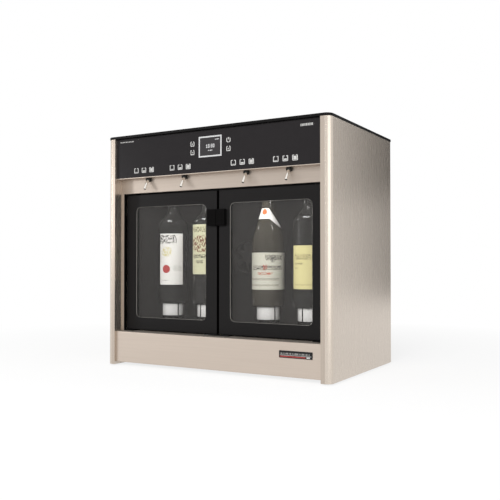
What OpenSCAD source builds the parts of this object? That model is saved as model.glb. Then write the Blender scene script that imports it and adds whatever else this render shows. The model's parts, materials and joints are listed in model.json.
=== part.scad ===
// Four-bottle wine preservation dispenser for a counter top, with two glass doors.
// Millimetres, +Z up. The origin is the middle of the footprint, on the surface the feet rest on.
// The front faces -Y. Depths such as door_set are measured back from the side panels' front edges.

/* [Cabinet] */
// Width over the two side panels
body_w = 580; // [560:1:640]
// Depth of the side panels
body_d = 365; // [355:1:420]
// Height of the side panels
panel_h = 536; // [530:1:580]
// Thickness of a side panel
side_t = 22; // [20:1:26]
// Radius of a side panel's front outer corner
corner_r = 14; // [8:1:16]
// Sheet thickness of the steel panels
skin_t = 1.5; // [1:0.1:2]
// How far a side panel's inner face is folded back, front and rear
return_d = 60; // [45:1:80]
// Height of the side panels above the counter
foot_gap = 3; // [2:0.5:6]
// Radius of a rubber foot
foot_r = 18; // [14:1:22]
// Distance of the feet's axes from the cabinet's sides
foot_x = 62; // [56:1:110]
// Distance of the front feet behind the front
foot_set = 88; // [80:1:110]

/* [Top cover] */
// Thickness of the top cover
cover_t = 6; // [4:0.5:10]
// How far the top cover stands out all round
cover_lip = 1; // [0.5:0.5:4]

/* [Control fascia] */
// Height of the fascia zone below the top cover
fascia_h = 94; // [90:1:98]
// Setback of the fascia glass
fascia_set = 7; // [5:0.5:9]
// Thickness of the fascia glass
fascia_t = 4; // [3:0.5:5]
// Thickness of the steel carrier behind and below the glass
carrier_t = 1.4; // [1:0.1:2]
// Width of the display
display_w = 62; // [50:1:80]
// Height of the display
display_h = 48; // [40:1:54]
// Height of the display's middle above the fascia's lower edge
display_z = 55; // [50:1:58]
// Depth of the display module
display_t = 6; // [4:0.5:8]
// Length of the control board
board_w = 400; // [300:1:460]
// Height of the control board
board_h = 70; // [60:1:76]
// Thickness of the control board
board_t = 1.6; // [1:0.2:2.4]

/* [Front frame and plinth] */
// Setback of the front frame
frame_set = 28; // [26:0.5:29]
// Height of the frame's band above the doors
band_h = 33.6; // [28:0.2:38]
// Width of a jamb in front view
jamb_w = 5.2; // [4:0.2:8]
// Depth of the flange folded back round the doorway
flange_d = 8; // [5:0.5:9]
// Setback of the plinth panel
plinth_set = 5.5; // [4:0.5:8]
// Height of the plinth above the side panels' lower edge
plinth_lift = 6; // [4:0.5:10]
// Height of the plinth panel
plinth_h = 72.4; // [68:0.2:80]
// Thickness of the base pan
base_t = 2; // [1.5:0.1:3]
// Height of the base pan's side flanges
base_flange = 28; // [15:1:50]
// Width of the badge plate
badge_w = 76; // [50:1:100]
// Height of the badge plate
badge_h = 15; // [10:1:20]
// Thickness of the badge plate
badge_t = 1.2; // [0.8:0.1:2]
// Distance of the badge plate's middle from the right side panel
badge_x = 58; // [53:1:120]
// Height of the badge plate's middle above the plinth's lower edge
badge_z = 47; // [20:1:55]

/* [Doors] */
// Setback of the door faces
door_set = 38; // [36:0.5:40]
// Thickness of a door
door_t = 13; // [12:0.5:14]
// Gap between the two doors
door_gap = 6; // [4:0.5:8]
// Gap between a door and its jamb
door_edge = 0.8; // [0.6:0.1:1.5]
// Gap above and below the doors
door_clear = 3; // [2.8:0.1:4]
// Width of a door's black border
stile_w = 30; // [24:1:34]
// Radius of the window's corners
window_r = 8; // [4:1:14]
// Thickness of the border in front of the glass
lip_t = 3; // [2:0.5:4]
// How far the glass reaches behind the border
glass_bite = 8; // [5:0.5:12]
// Clearance of the glass in its rebate
glass_clear = 0.3; // [0.2:0.1:0.6]
// Thickness of one pane of the insulating glass
pane_t = 3; // [2.5:0.5:4]
// Distance of the gasket from the door's edge
gasket_in = 9; // [8.5:0.5:11]
// Width of the gasket
gasket_w = 6; // [4:0.5:8]
// Gap between the closed gasket and the cabin
gasket_gap = 0.5; // [0.3:0.1:0.8]
// Distance of the hinge axis from the door's outer edge
hinge_in = 8; // [7.5:0.5:9]
// Radius of a hinge pin
pin_r = 3; // [2:0.5:3.5]
// Running clearance round pins and shafts
run_clear = 0.05; // [0.02:0.01:0.08]
// Length of a hinge pin in the door
pin_l = 10; // [6:1:14]
// Thickness of a hinge bracket
bracket_t = 2; // [1.5:0.1:2.5]
// Width of a hinge bracket
bracket_w = 26; // [22:1:34]
// Width of the centre stop plate
stop_w = 65; // [40:1:90]
// Width of one half of the pull
pull_w = 22.5; // [18:0.5:27]
// Height of the pull
pull_h = 37; // [28:1:60]
// How far the pull stands out of the door
pull_t = 9.5; // [6:0.5:10]
// Gap between the halves of the pull
pull_gap = 1; // [0.6:0.2:3]
// Distance of the pull's top below the door's top
pull_drop = 43; // [35:1:120]

/* [Bottle stations] */
// Distance between the two inner bottles
centre_pitch = 164; // [160:1:168]
// Distance between the bottles of one door
station_pitch = 104; // [96:1:106]
// Setback of the bottles' axes
bottle_set = 123; // [121:1:124]
// Radius of a bottle
bottle_r = 37; // [34:0.5:38]
// Height of a bottle
bottle_h = 300; // [290:1:302]
// Radius of a bottle's neck
neck_r = 14.5; // [14:0.5:16]
// Wall of a bottle
bottle_wall = 3; // [2:0.5:4]
// Radius of a lift platform
lift_r = 26; // [22:0.5:27]
// Wall of a lift platform
lift_wall = 3; // [2:0.5:4]
// Height of a raised platform above the cabin's floor
lift_rise = 47; // [45:1:50]
// Downward travel of a platform
lift_travel = 40; // [30:1:42]
// Wall of a lift guide
guide_wall = 3; // [2:0.5:4]
// Radius of the spring's middle line
spring_r = 19; // [15:0.5:20]
// Radius of the spring's wire
wire_r = 1.1; // [0.8:0.1:1.3]
// Turns of a spring
spring_turns = 9; // [7:1:10]
// Radius of a stopper's nozzle
nozzle_r = 5; // [4:0.5:6]
// Length of a stopper's nozzle
nozzle_l = 12; // [8:1:14]
// Radius of a dip tube
dip_r = 2.5; // [2:0.5:3.5]
// Radius of a docking head
head_r = 20; // [17:1:22]
// Radius of a docking head's stem
stem_r = 12; // [10:0.5:14]
// Radius of a hose
hose_r = 3; // [2:0.5:3.5]

/* [Spouts] */
// Outer radius of a spout
spout_r = 3.25; // [2.75:0.25:3.75]
// Bore radius of a spout
spout_bore = 2.2; // [1.5:0.1:2.4]
// Forward tilt of a spout
spout_tilt = 31; // [25:1:38]
// Drop of a spout below its collar
spout_drop = 21; // [15:1:24]
// Height of a spout above its collar's lower face
spout_up = 25; // [22:1:28]
// Radius of a spout collar
collar_r = 6.6; // [5.6:0.2:7.4]
// Height from the shelf down to the middle of a collar's face
collar_h = 5.6; // [5:0.2:8]

/* [Cabin and cooling] */
// Sheet thickness of the cabin liner
liner_t = 2; // [1.5:0.1:2.5]
// Depth of the cabin behind its front flange
cabin_d = 150; // [148:1:156]
// Height of the cabin's floor above the doors' lower edge
floor_step = 13.6; // [13:0.2:16]
// Thickness of the insulation behind the cabin
back_foam = 20; // [14:1:26]
// Thickness of the insulation above and below the cabin
slab_foam = 12; // [10:0.5:12]
// Thickness of the insulation beside the cabin
side_foam = 10; // [6:0.5:12]
// Height of the cooler's middle above the cabin's floor
cooler_z = 160; // [120:1:200]
// Width and height of a fan
fan_w = 80; // [60:1:82]
// Depth of a fan
fan_t = 15; // [12:1:20]
// Blades of a fan
fan_blades = 7; // [5:1:9]
// Height of the cold sink's fins
cold_fin = 16; // [10:1:18]
// Height of the hot sink's fins
hot_fin = 28; // [15:1:32]

/* [Hidden] */
$fn = 64;
eps = 1; // how far a cutting shape passes the face it cuts

STEEL = "#c9bba9";
POLISHED = "#e6e3de";
BLACK = "#141414";
RUBBER = "#1d1d1d";
ALUMINIUM = "#a8abad";
FOAM = "#e8dfc8";
CLEAR = "#9fb4b8";
WHITE = "#efeeea";
BOARD = "#1f5c3a";
BRASS = "#b9934a";

// Smaller values that several pieces share
stopper_t = 3; // rim of a stopper
plug_l = 22; // length of a stopper's plug
guide_floor = 3; // floor of a lift guide
guide_rise = 2; // how far a guide stands above the cabin's floor
lift_roof = 5; // thickness of a platform's top
port_reach = 8; // how far a hose port stands out
stub_l = 2; // straight end of a hose
line_bore = 1.5; // radius of a drilled passage
gasket_t = 4.5; // depth of a door gasket
opening_in = gasket_in + gasket_w + 1; // cabin opening, inside a door's edge
cover_rear_r = 2;
display_frame = 5;
sink_boss = 42;
module_w = 40;
module_t = 4;
sink_base = 4;
hot_base = 6;
hot_w = 120;
spindle_r = 1.5;
hub_r = 15;
rear_foot_set = 50; // distance of the rear feet before the rear panel
inlet_in = 68; // distance of the power inlet's middle from the left side panel
inlet_z = 110;
inlet_w = 50;
inlet_h = 66;
inlet_d = 26; // depth of the inlet's body behind the rear panel
inlet_rim = 3; // overlap of the inlet's flange on the rear panel
flange_t = 2; // thickness of that flange
socket_w = 27;
socket_h = 19;
socket_d = 18;
socket_drop = 12; // distance of the socket below the inlet's middle
rocker_z = inlet_z + 18;
rocker_x = 6.4; // half the rocker's width
rocker_r = 9.5; // half the rocker's height
rocker_lean = 10; // the rocker's tilt either way
rocker_t = 4; // half the rocker's thickness
axle_r = 1; // radius of the rocker's axle
supply_w = 120;
supply_h = 46;
supply_gap = 10; // room in front of the supply's case, taken by its terminals
terminal_h = 10;
valve_w = 32; // width of a pinch valve's bridge
valve_d = 30;
valve_h = 18;
coil_r = 9; // radius of a valve's solenoid
coil_l = 30;
valve_set = 22; // distance of the valves behind the liner's front
manifold_w = 120;
manifold_h = 26;
manifold_d = 30;
gas_port_r = 4.05; // bore for an 8 mm gas tube
gas_port_l = 14;

// Places across
panel_in = body_w / 2 - side_t; // inner face of a side panel
doorway_x = panel_in - jamb_w; // half the doorway's width
door_x1 = doorway_x - door_edge; // a door's outer edge
door_x0 = door_gap / 2; // a door's edge at the middle
hinge_x = door_x1 - hinge_in;
liner_x = panel_in - side_foam; // outer face of the liner's side walls
inlet_x = inlet_in - panel_in;
STATIONS = [
    -centre_pitch / 2 - station_pitch, -centre_pitch / 2, centre_pitch / 2, centre_pitch / 2 + station_pitch
];

// Heights
panel_z0 = foot_gap;
panel_z1 = panel_z0 + panel_h;
plinth_z0 = panel_z0 + plinth_lift;
plinth_z1 = plinth_z0 + plinth_h;
base_z1 = plinth_z0 + base_t;
fascia_z0 = panel_z1 - fascia_h;
band_z1 = fascia_z0 - carrier_t;
band_z0 = band_z1 - band_h;
door_z0 = plinth_z1 + door_clear;
door_z1 = band_z0 - door_clear;
floor_z = door_z0 + floor_step;
bottle_z = floor_z + lift_rise;
neck_top = bottle_z + bottle_h;
ceiling_z = neck_top + stopper_t + nozzle_l + 10;
foam_z0 = floor_z - liner_t - slab_foam;
foam_z1 = ceiling_z + liner_t + slab_foam;
port_z = foam_z1 + hose_r + 2; // height of the hose ports
lift_z0 = base_z1 + guide_floor + lift_travel + 5; // lower rim of a raised platform

// Depths, as places along Y
front_y = -body_d / 2;
fascia_y = front_y + fascia_set;
frame_y = front_y + frame_set;
plinth_y = front_y + plinth_set;
door_y = front_y + door_set;
door_back = door_y + door_t;
liner_y = door_back + gasket_t + gasket_gap; // front of the cabin's flange
cabin_y1 = liner_y + cabin_d; // inner face of the cabin's rear wall
foam_y1 = cabin_y1 + liner_t + back_foam;
hinge_y = door_y + door_t / 2;
station_y = front_y + bottle_set;
rear_set = 12.5; // depth of the recess at the back
rear_y1 = body_d / 2 - rear_set;
rear_y0 = rear_y1 - skin_t;
spout_y = frame_y - collar_r * cos(spout_tilt); // where a spout's axis passes its collar's face

// ---------------------------------------------------------------- helpers

// A box between two corners, given as [low, high] for X, Y and Z.
module block(x, y, z) {
    translate([x[0], y[0], z[0]]) cube([x[1] - x[0], y[1] - y[0], z[1] - z[0]]);
}

// The piece and its mirror image on the other side.
module both_sides() {
    children();
    mirror([1, 0, 0]) children();
}

// A rectangle from the origin with its front right corner rounded.
module rounded_front(w, d, r) {
    difference() {
        square([w, d]);
        translate([w - r, -eps]) difference() {
            square([r + eps, r + eps]);
            translate([0, r + eps]) circle(r);
        }
    }
}

// A centred rectangle with four round corners.
module round_rect(w, h, r) {
    square([w - 2 * r, h], center = true);
    square([w, h - 2 * r], center = true);
    for (i = [-1, 1], j = [-1, 1]) translate([i * (w / 2 - r), j * (h / 2 - r)]) circle(r);
}

// A round-cornered plate that stands upright in the XZ plane, from y0 to y1.
module upright_plate(x, z, w, h, r, y0, y1) {
    translate([x, y1, z]) rotate([90, 0, 0]) linear_extrude(y1 - y0) round_rect(w, h, r);
}

// A cylinder along Y, from y0 to y1.
module rod_y(x, z, r, y0, y1) {
    translate([x, y0, z]) rotate([-90, 0, 0]) cylinder(r = r, h = y1 - y0);
}

// The stretch that reaches half either side of mid, and the one that starts at low.
function span(mid, half) = [mid - half, mid + half];
function from(low, length) = [low, low + length];

function unit(v) = v / norm(v);

// A point on the curve that leaves a towards b and arrives at d from c.
function bezier(a, b, c, d, t) =
    pow(1 - t, 3) * a + 3 * pow(1 - t, 2) * t * b + 3 * (1 - t) * t * t * c + t * t * t * d;

// A closed tube of the given radius along a list of points; side_dir is never along the path.
module sweep(path, r, sides, side_dir) {
    n = len(path);
    rings = [
        for (i = [0:n - 1])
            let (
                along = unit(path[min(i + 1, n - 1)] - path[max(i - 1, 0)]),
                u = unit(cross(along, side_dir)),
                v = cross(along, u)
            )
            for (k = [0:sides - 1]) path[i] + r * (cos(360 * k / sides) * u + sin(360 * k / sides) * v)
    ];
    walls = [
        for (i = [0:n - 2], k = [0:sides - 1])
            let (a = i * sides + k, b = i * sides + (k + 1) % sides)
            each [[a, b, a + sides], [b, b + sides, a + sides]]
    ];
    ends = [
        for (k = [1:sides - 2])
            each [[0, k + 1, k], [(n - 1) * sides, (n - 1) * sides + k, (n - 1) * sides + k + 1]]
    ];
    polyhedron(points = rings, faces = concat(walls, ends), convexity = 10);
}

// ---------------------------------------------------------------- casing

module top_cover() color(BLACK) {
    w = body_w / 2 + cover_lip;
    translate([0, front_y - cover_lip, panel_z1]) linear_extrude(cover_t) both_sides() difference() {
        rounded_front(w, body_d + 2 * cover_lip, corner_r + cover_lip);
        translate([w - cover_rear_r, body_d + 2 * cover_lip - cover_rear_r]) difference() {
            square(cover_rear_r + eps);
            circle(cover_rear_r);
        }
    }
}

// One folded side panel, open inwards between its front and rear returns.
module side_panel() color(STEEL) {
    hollow = [side_t - 2 * skin_t, body_d - 2 * skin_t];
    translate([panel_in, front_y, panel_z0]) linear_extrude(panel_h) difference() {
        rounded_front(side_t, body_d, corner_r);
        translate([skin_t, skin_t]) rounded_front(hollow[0], hollow[1], corner_r - skin_t);
        translate([-eps, return_d]) square([skin_t + 2 * eps, body_d - 2 * return_d]);
    }
}

module side_panel_left() mirror([1, 0, 0]) side_panel();

module side_panel_right() side_panel();

module control_fascia() color(BLACK)
    block([-panel_in, panel_in], [fascia_y, fascia_y + fascia_t], [fascia_z0, panel_z1]);

// Shelf under the glass and plate behind it, with the window for the display.
module fascia_carrier() color(STEEL) {
    plate_y = fascia_y + fascia_t;
    difference() {
        union() {
            block([-panel_in, panel_in], [fascia_y, frame_y + skin_t], [band_z1, fascia_z0]);
            block([-panel_in, panel_in], [plate_y, plate_y + carrier_t], [fascia_z0, panel_z1]);
            for (x = [-1, 1] * (board_w / 2 - 10), z = [-1, 1] * (board_h / 2 - 8))
                rod_y(x, fascia_z0 + fascia_h / 2 + z, 3, plate_y, plate_y + display_t);
        }
        block(
            span(0, display_w / 2 + display_frame + glass_clear),
            [plate_y - eps, plate_y + carrier_t + eps],
            span(fascia_z0 + display_z, display_h / 2 + display_frame + glass_clear)
        );
        spout_rods(spout_r + 0.3, eps);
    }
}

module display_module() color(CLEAR) {
    y0 = fascia_y + fascia_t;
    z = fascia_z0 + display_z;
    block(span(0, display_w / 2 + display_frame), [y0, y0 + display_t],
        span(z, display_h / 2 + display_frame));
}

module control_board() color(BOARD) {
    y0 = fascia_y + fascia_t + display_t;
    z = fascia_z0 + fascia_h / 2;
    difference() {
        block(span(0, board_w / 2), from(y0, board_t), span(z, board_h / 2));
        for (x = [-1, 1] * (board_w / 2 - 10), dz = [-1, 1] * (board_h / 2 - 8))
            rod_y(x, z + dz, 1.6, y0 - eps, y0 + board_t + eps);
    }
    for (x = STATIONS) block(span(x, 9), from(y0 + board_t, 3), span(z, 9));
}

// The band above the doors, the jambs, and the flange folded back round the doorway.
module front_frame() color(STEEL) {
    difference() {
        union() {
            block([-panel_in, panel_in], [frame_y, frame_y + skin_t], [plinth_z1, band_z1]);
            block([-1, 1] * (doorway_x + skin_t), [frame_y, frame_y + flange_d], [plinth_z1, band_z0 + skin_t]);
        }
        block([-doorway_x, doorway_x], [frame_y - eps, frame_y + flange_d + eps], [plinth_z1 - eps, band_z0]);
        spout_rods(spout_r + 0.3, eps);
    }
}

// Front sheet, ledge under the doors and return below.
module plinth_panel() color(STEEL) {
    r = 2;
    difference() {
        union() {
            block([-panel_in, panel_in], [plinth_y, plinth_y + skin_t], [plinth_z0, plinth_z1 - r]);
            block([-panel_in, panel_in], [plinth_y + r, liner_y - gasket_gap], [plinth_z1 - skin_t, plinth_z1]);
            block([-panel_in, panel_in], [plinth_y, plinth_y + 15], [plinth_z0, plinth_z0 + skin_t]);
            translate([-panel_in, plinth_y + r, plinth_z1 - r]) rotate([0, 90, 0])
                cylinder(r = r, h = 2 * panel_in);
        }
        block([-panel_in - eps, panel_in + eps], [plinth_y + skin_t, plinth_y + 2 * r],
            [plinth_z1 - 2 * r - eps, plinth_z1 - skin_t]);
    }
}

module badge_plate() color(BLACK)
    upright_plate(panel_in - badge_x, plinth_z0 + badge_z, badge_w, badge_h, 1, plinth_y - badge_t, plinth_y);

module base_pan() color(ALUMINIUM) {
    y0 = plinth_y + 15;
    block([-panel_in, panel_in], [y0, rear_y0], [plinth_z0, base_z1]);
    both_sides() block([panel_in - base_t, panel_in], [y0, rear_y0], [base_z1, base_z1 + base_flange]);
}

vent_y = [rear_y0 - eps, rear_y1 + eps];
exhaust_w = fan_w + 6;
cooler_mid = floor_z + cooler_z;

module rear_panel() color(STEEL) difference() {
    block([-panel_in, panel_in], [rear_y0, rear_y1], [plinth_z0, panel_z1]);
    block(span(0, exhaust_w / 2), vent_y, span(cooler_mid, exhaust_w / 2));
    block(span(inlet_x, inlet_w / 2 - inlet_rim), vent_y, span(inlet_z, inlet_h / 2 - inlet_rim));
    rod_y(0, port_z, 8, vent_y[0], vent_y[1]);
    for (x = [-150, 150], i = [0:3])
        upright_plate(x, cooler_mid + 20 + i * 20, 70, 8, 3, vent_y[0], vent_y[1]);
}

// Louvre plate over the fan's exhaust.
module rear_grille() color(BLACK) {
    w = exhaust_w + 14;
    pitch = 9;
    difference() {
        upright_plate(0, cooler_mid, w, w, 4, rear_y1, rear_y1 + 2);
        for (i = [-4:4])
            upright_plate(0, cooler_mid + i * pitch, exhaust_w, 5, 2, rear_y1 - eps, rear_y1 + 2 + eps);
    }
}

module rubber_feet() color(RUBBER)
    for (x = [-1, 1] * (body_w / 2 - foot_x), y = [front_y + foot_set, rear_y0 - rear_foot_set])
        translate([x, y, 0]) cylinder(r1 = foot_r - 2, r2 = foot_r, h = plinth_z0);

// ---------------------------------------------------------------- cabin

// Both cabin openings, seen from the front.
module cabin_openings(y0, y1) {
    both_sides() block([door_x0 + opening_in, door_x1 - opening_in], [y0, y1],
        [door_z0 + opening_in, door_z1 - opening_in]);
}

module cabin_liner() color(WHITE) difference() {
    union() {
        block([-liner_x, liner_x], [liner_y, cabin_y1 + liner_t], [floor_z - liner_t, ceiling_z + liner_t]);
        block([-door_x1, door_x1], [liner_y, liner_y + liner_t], [door_z0 + 2, ceiling_z + liner_t]);
    }
    block(span(0, liner_x - liner_t), [liner_y + liner_t, cabin_y1], [floor_z, ceiling_z]);
    cabin_openings(liner_y - eps, liner_y + liner_t + eps);
    for (x = STATIONS) translate([x, station_y, 0]) {
        translate([0, 0, floor_z - liner_t - eps]) cylinder(r = guide_out, h = liner_t + 2 * eps);
        translate([0, 0, ceiling_z - eps]) cylinder(r = stem_r + glass_clear, h = liner_t + 2 * eps);
    }
    block(span(0, boss_hole), from(cabin_y1 - eps, liner_t + 2 * eps), span(cooler_mid, boss_hole));
}

guide_out = lift_r + run_clear + guide_wall + glass_clear; // hole round a lift guide
boss_hole = sink_boss / 2 + glass_clear; // half the hole round the sinks' bosses

module cabin_insulation() color(FOAM) difference() {
    block(span(0, liner_x + side_foam), [liner_y + liner_t, foam_y1], [foam_z0, foam_z1]);
    block([-liner_x, liner_x], [liner_y, cabin_y1 + liner_t], [floor_z - liner_t, ceiling_z + liner_t]);
    for (x = STATIONS) translate([x, station_y, 0]) {
        translate([0, 0, foam_z0 - eps]) cylinder(r = guide_out, h = slab_foam + 2 * eps);
        translate([0, 0, ceiling_z]) cylinder(r = stem_r + glass_clear, h = slab_foam + liner_t + eps);
    }
    block(span(0, boss_hole), [cabin_y1, foam_y1 + eps], span(cooler_mid, boss_hole));
}

module led_strips() color(WHITE) both_sides()
    block([door_x0 + opening_in, door_x1 - opening_in], from(liner_y + liner_t + 4, 8), from(ceiling_z - 4, 4));

// ---------------------------------------------------------------- doors

module door_stop_plate() color(BLACK)
    block(span(0, stop_w / 2), [door_y - 8, liner_y - gasket_gap], [plinth_z1, plinth_z1 + door_clear - 0.5]);

// Lower brackets on the ledge and upper ones on the cabin's flange, each with its pin.
module hinge_brackets() color(BLACK) both_sides() {
    x = [door_x1 - bracket_w, door_x1];
    block(x, [door_y - 8, liner_y - gasket_gap], [plinth_z1, plinth_z1 + bracket_t]);
    translate([hinge_x, hinge_y, plinth_z1]) cylinder(r = pin_r, h = door_clear + pin_l);
    block(x, [door_y - 1, liner_y], [band_z0 - bracket_t, band_z0]);
    block(x, [liner_y - bracket_t, liner_y], [band_z0 - bracket_t, band_z0 + 14]);
    translate([hinge_x, hinge_y, door_z1 - pin_l]) cylinder(r = pin_r, h = door_clear + pin_l);
}

door_w = door_x1 - door_x0;
door_h = door_z1 - door_z0;
door_mid = [(door_x0 + door_x1) / 2, (door_z0 + door_z1) / 2];

// A ring in the plane of a door, its outside at edge_out and its inside at edge_in from the door's edge.
module door_ring(edge_out, edge_in, r, y0, y1) difference() {
    upright_plate(door_mid[0], door_mid[1], door_w - 2 * edge_out, door_h - 2 * edge_out, r, y0, y1);
    upright_plate(door_mid[0], door_mid[1], door_w - 2 * edge_in, door_h - 2 * edge_in, r, y0 - eps, y1 + eps);
}

rebate = stile_w - glass_bite;

module door_frame() color(BLACK) difference() {
    upright_plate(door_mid[0], door_mid[1], door_w, door_h, 1.5, door_y, door_back);
    upright_plate(door_mid[0], door_mid[1], door_w - 2 * stile_w, door_h - 2 * stile_w, window_r,
        door_y - eps, door_back);
    upright_plate(door_mid[0], door_mid[1], door_w - 2 * rebate, door_h - 2 * rebate, 2,
        door_y + lip_t, door_back + eps);
    for (z = [door_z0 - eps, door_z1 - pin_l - 0.5]) translate([hinge_x, hinge_y, z])
        cylinder(r = pin_r + run_clear, h = pin_l + 0.5 + eps);
}

// Two panes and the spacer bar between them.
module door_glass() color(CLEAR) {
    edge = rebate + glass_clear;
    y0 = door_y + lip_t;
    door_pane(edge, y0);
    door_ring(edge, edge + 7, 1, y0 + pane_t, door_back - pane_t);
    door_pane(edge, door_back - pane_t);
}

module door_pane(edge, y0)
    upright_plate(door_mid[0], door_mid[1], door_w - 2 * edge, door_h - 2 * edge, 1.5, y0, y0 + pane_t);

module door_gasket() color(RUBBER)
    door_ring(gasket_in, gasket_in + gasket_w, 3, door_back, door_back + gasket_t);

module door_pull() color(BLACK)
    upright_plate(pull_gap / 2 + pull_w / 2, door_z1 - pull_drop - pull_h / 2, pull_w, pull_h, 1.5,
        door_y - pull_t, door_y);

module door_frame_left() mirror([1, 0, 0]) door_frame();
module door_frame_right() door_frame();
module door_glass_left() mirror([1, 0, 0]) door_glass();
module door_glass_right() door_glass();
module door_gasket_left() mirror([1, 0, 0]) door_gasket();
module door_gasket_right() door_gasket();
module door_pull_left() mirror([1, 0, 0]) door_pull();
module door_pull_right() door_pull();

// ---------------------------------------------------------------- bottle stations

module lift_guides() color(ALUMINIUM) for (x = STATIONS) translate([x, station_y, base_z1]) difference() {
    union() {
        cylinder(r = lift_r + run_clear + guide_wall, h = floor_z + guide_rise - base_z1);
        cylinder(r = lift_r + guide_wall + 4, h = guide_floor);
    }
    translate([0, 0, guide_floor]) cylinder(r = lift_r + run_clear, h = floor_z);
    translate([0, 0, -eps]) cylinder(r = 8, h = guide_floor + 2 * eps);
}

// Directions of the platforms' keyways, counted from +X.
KEYWAYS = [-26, -101, -26, -101];

// A cup that slides in its guide, open downwards, with a keyway down one side.
module lift_platform(n) color(POLISHED) translate([STATIONS[n], station_y, 0]) difference() {
    translate([0, 0, lift_z0]) cylinder(r = lift_r, h = bottle_z - lift_z0);
    translate([0, 0, lift_z0 - eps]) cylinder(r = lift_r - lift_wall, h = bottle_z - lift_z0 - lift_roof + eps);
    rotate([0, 0, KEYWAYS[n]]) translate([lift_r, 0, lift_z0 - eps])
        cylinder(r = 1.4, h = bottle_z - lift_z0 - lift_roof);
}

// A coil of round wire between the guide's floor and the platform's top, with straight ends.
module lift_spring(n) color(ALUMINIUM) {
    z0 = base_z1 + guide_floor + wire_r;
    z1 = bottle_z - lift_roof - wire_r;
    steps = 10;
    count = spring_turns * steps;
    path = [
        for (i = [0:count])
            let (a = 360 * i / steps)
            [STATIONS[n] + spring_r * cos(a), station_y + spring_r * sin(a), z0 + (z1 - z0) * i / count]
    ];
    sweep(path, wire_r, 6, [0, 0, 1]);
}

// Half of a bottle's outline: straight body, eased shoulder, neck with a lip.
function bottle_outline(r, neck, shoulder, neck_from) = [
    [0, 3], [r - 17, 1.2], [r - 14, 0], [r - 4, 0], [r - 1, 1.2], [r, 4],
    for (i = [0:12])
        let (t = i / 12)
        [neck + (r - neck) * (1 + cos(180 * t)) / 2, shoulder + (neck_from - shoulder) * t],
    [neck, bottle_h - 14], [neck + 1.2, bottle_h - 13], [neck + 1.2, bottle_h - 5], [neck, bottle_h - 4],
    [neck, bottle_h]
];

neck_bore = neck_r - 5;

// The bottle's hollow, one wall inside its outline.
function hollow_outline(shoulder, neck_from) = [
    [0, 9], [bottle_r - bottle_wall - 3, 7], [bottle_r - bottle_wall, 12],
    for (i = [0:12])
        let (t = i / 12)
        [neck_bore + (bottle_r - bottle_wall - neck_bore) * (1 + cos(180 * t)) / 2,
            shoulder - 1 + (neck_from - shoulder) * t],
    [neck_bore, bottle_h + eps], [0, bottle_h + eps]
];

// Shoulder and neck heights of the four bottles: three are square-shouldered, the third slopes.
SHOULDERS = [[190, 228], [192, 230], [138, 236], [188, 226]];

module bottle(n) color("#1c2a1a") translate([STATIONS[n], station_y, bottle_z]) rotate_extrude() {
    s = SHOULDERS[n];
    difference() {
        polygon(concat(bottle_outline(bottle_r, neck_r, s[0], s[1]), [[0, bottle_h]]));
        polygon(hollow_outline(s[0], s[1]));
    }
}

// Plug, rim and nozzle on the bottle's mouth, and the dip tube that reaches the bottom.
module bottle_stopper(n) color(RUBBER) translate([STATIONS[n], station_y, neck_top]) {
    difference() {
        union() {
            translate([0, 0, -plug_l]) cylinder(r1 = neck_bore - 1.2, r2 = neck_bore - 0.3, h = plug_l);
            cylinder(r = neck_r - 1, h = stopper_t);
            translate([0, 0, stopper_t]) cylinder(r = nozzle_r, h = nozzle_l);
        }
        translate([0, 0, -plug_l - eps]) cylinder(r = dip_r + run_clear, h = plug_l + stopper_t + eps);
        cylinder(r = dip_r - 1, h = stopper_t + nozzle_l + eps);
    }
    tube_l = bottle_h - 14;
    translate([0, 0, stopper_t - tube_l]) difference() {
        cylinder(r = dip_r, h = tube_l);
        translate([0, 0, -eps]) cylinder(r = dip_r - 1, h = tube_l + 2 * eps);
    }
}

// Fixed heads under the ceiling: each stops a raised bottle, with the stopper's nozzle in its socket.
module docking_heads() color(BLACK) for (x = STATIONS) translate([x, station_y, 0]) difference() {
    head_z = neck_top + stopper_t;
    union() {
        translate([0, 0, head_z]) cylinder(r = head_r, h = ceiling_z - head_z);
        translate([0, 0, ceiling_z]) cylinder(r = stem_r, h = port_z + hose_r + 2 - ceiling_z);
        rod_y(0, port_z, hose_r, -stem_r - port_reach, stem_r + port_reach);
    }
    translate([0, 0, head_z - eps]) cylinder(r = nozzle_r + run_clear, h = nozzle_l + 2 * eps);
    translate([0, 0, head_z]) cylinder(r = line_bore, h = port_z - head_z);
    rod_y(0, port_z, line_bore, -stem_r - port_reach - eps, stem_r + port_reach + eps);
}

// Bridges with a solenoid lying beside each; a wine line passes through its bridge's tunnel.
module pinch_valves() color(ALUMINIUM) for (x = STATIONS) {
    difference() {
        block(span(x, valve_w / 2), span(valve_y, valve_d / 2), from(foam_z1, valve_h));
        block(span(x, hose_r + 1), span(valve_y, valve_d / 2 + eps), span(port_z, hose_r + 1));
    }
    translate([x + valve_w / 2, valve_y, foam_z1 + coil_r + glass_clear]) rotate([0, 90, 0])
        cylinder(r = coil_r, h = coil_l);
}

valve_y = liner_y + liner_t + valve_set;

// Each line runs from its head forwards through the valve and bends down to the spout.
module wine_lines() color(CLEAR) for (x = STATIONS) {
    back = [x, station_y - stem_r - port_reach, port_z];
    lean = [0, sin(spout_tilt), cos(spout_tilt)];
    end = spout_foot(x) + spout_up / cos(spout_tilt) * lean;
    turn = [x, valve_y - valve_d / 2 - 3, port_z];
    path = concat(
        [back],
        [for (i = [0:8]) bezier(turn, turn - [0, 14, 0], end + 14 * lean, end + stub_l * lean, i / 8)],
        [end]
    );
    sweep(path, hose_r, 8, [1, 0, 0]);
}

function manifold_x(i) = (i - 1.5) * 25; // place of a port across

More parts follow.
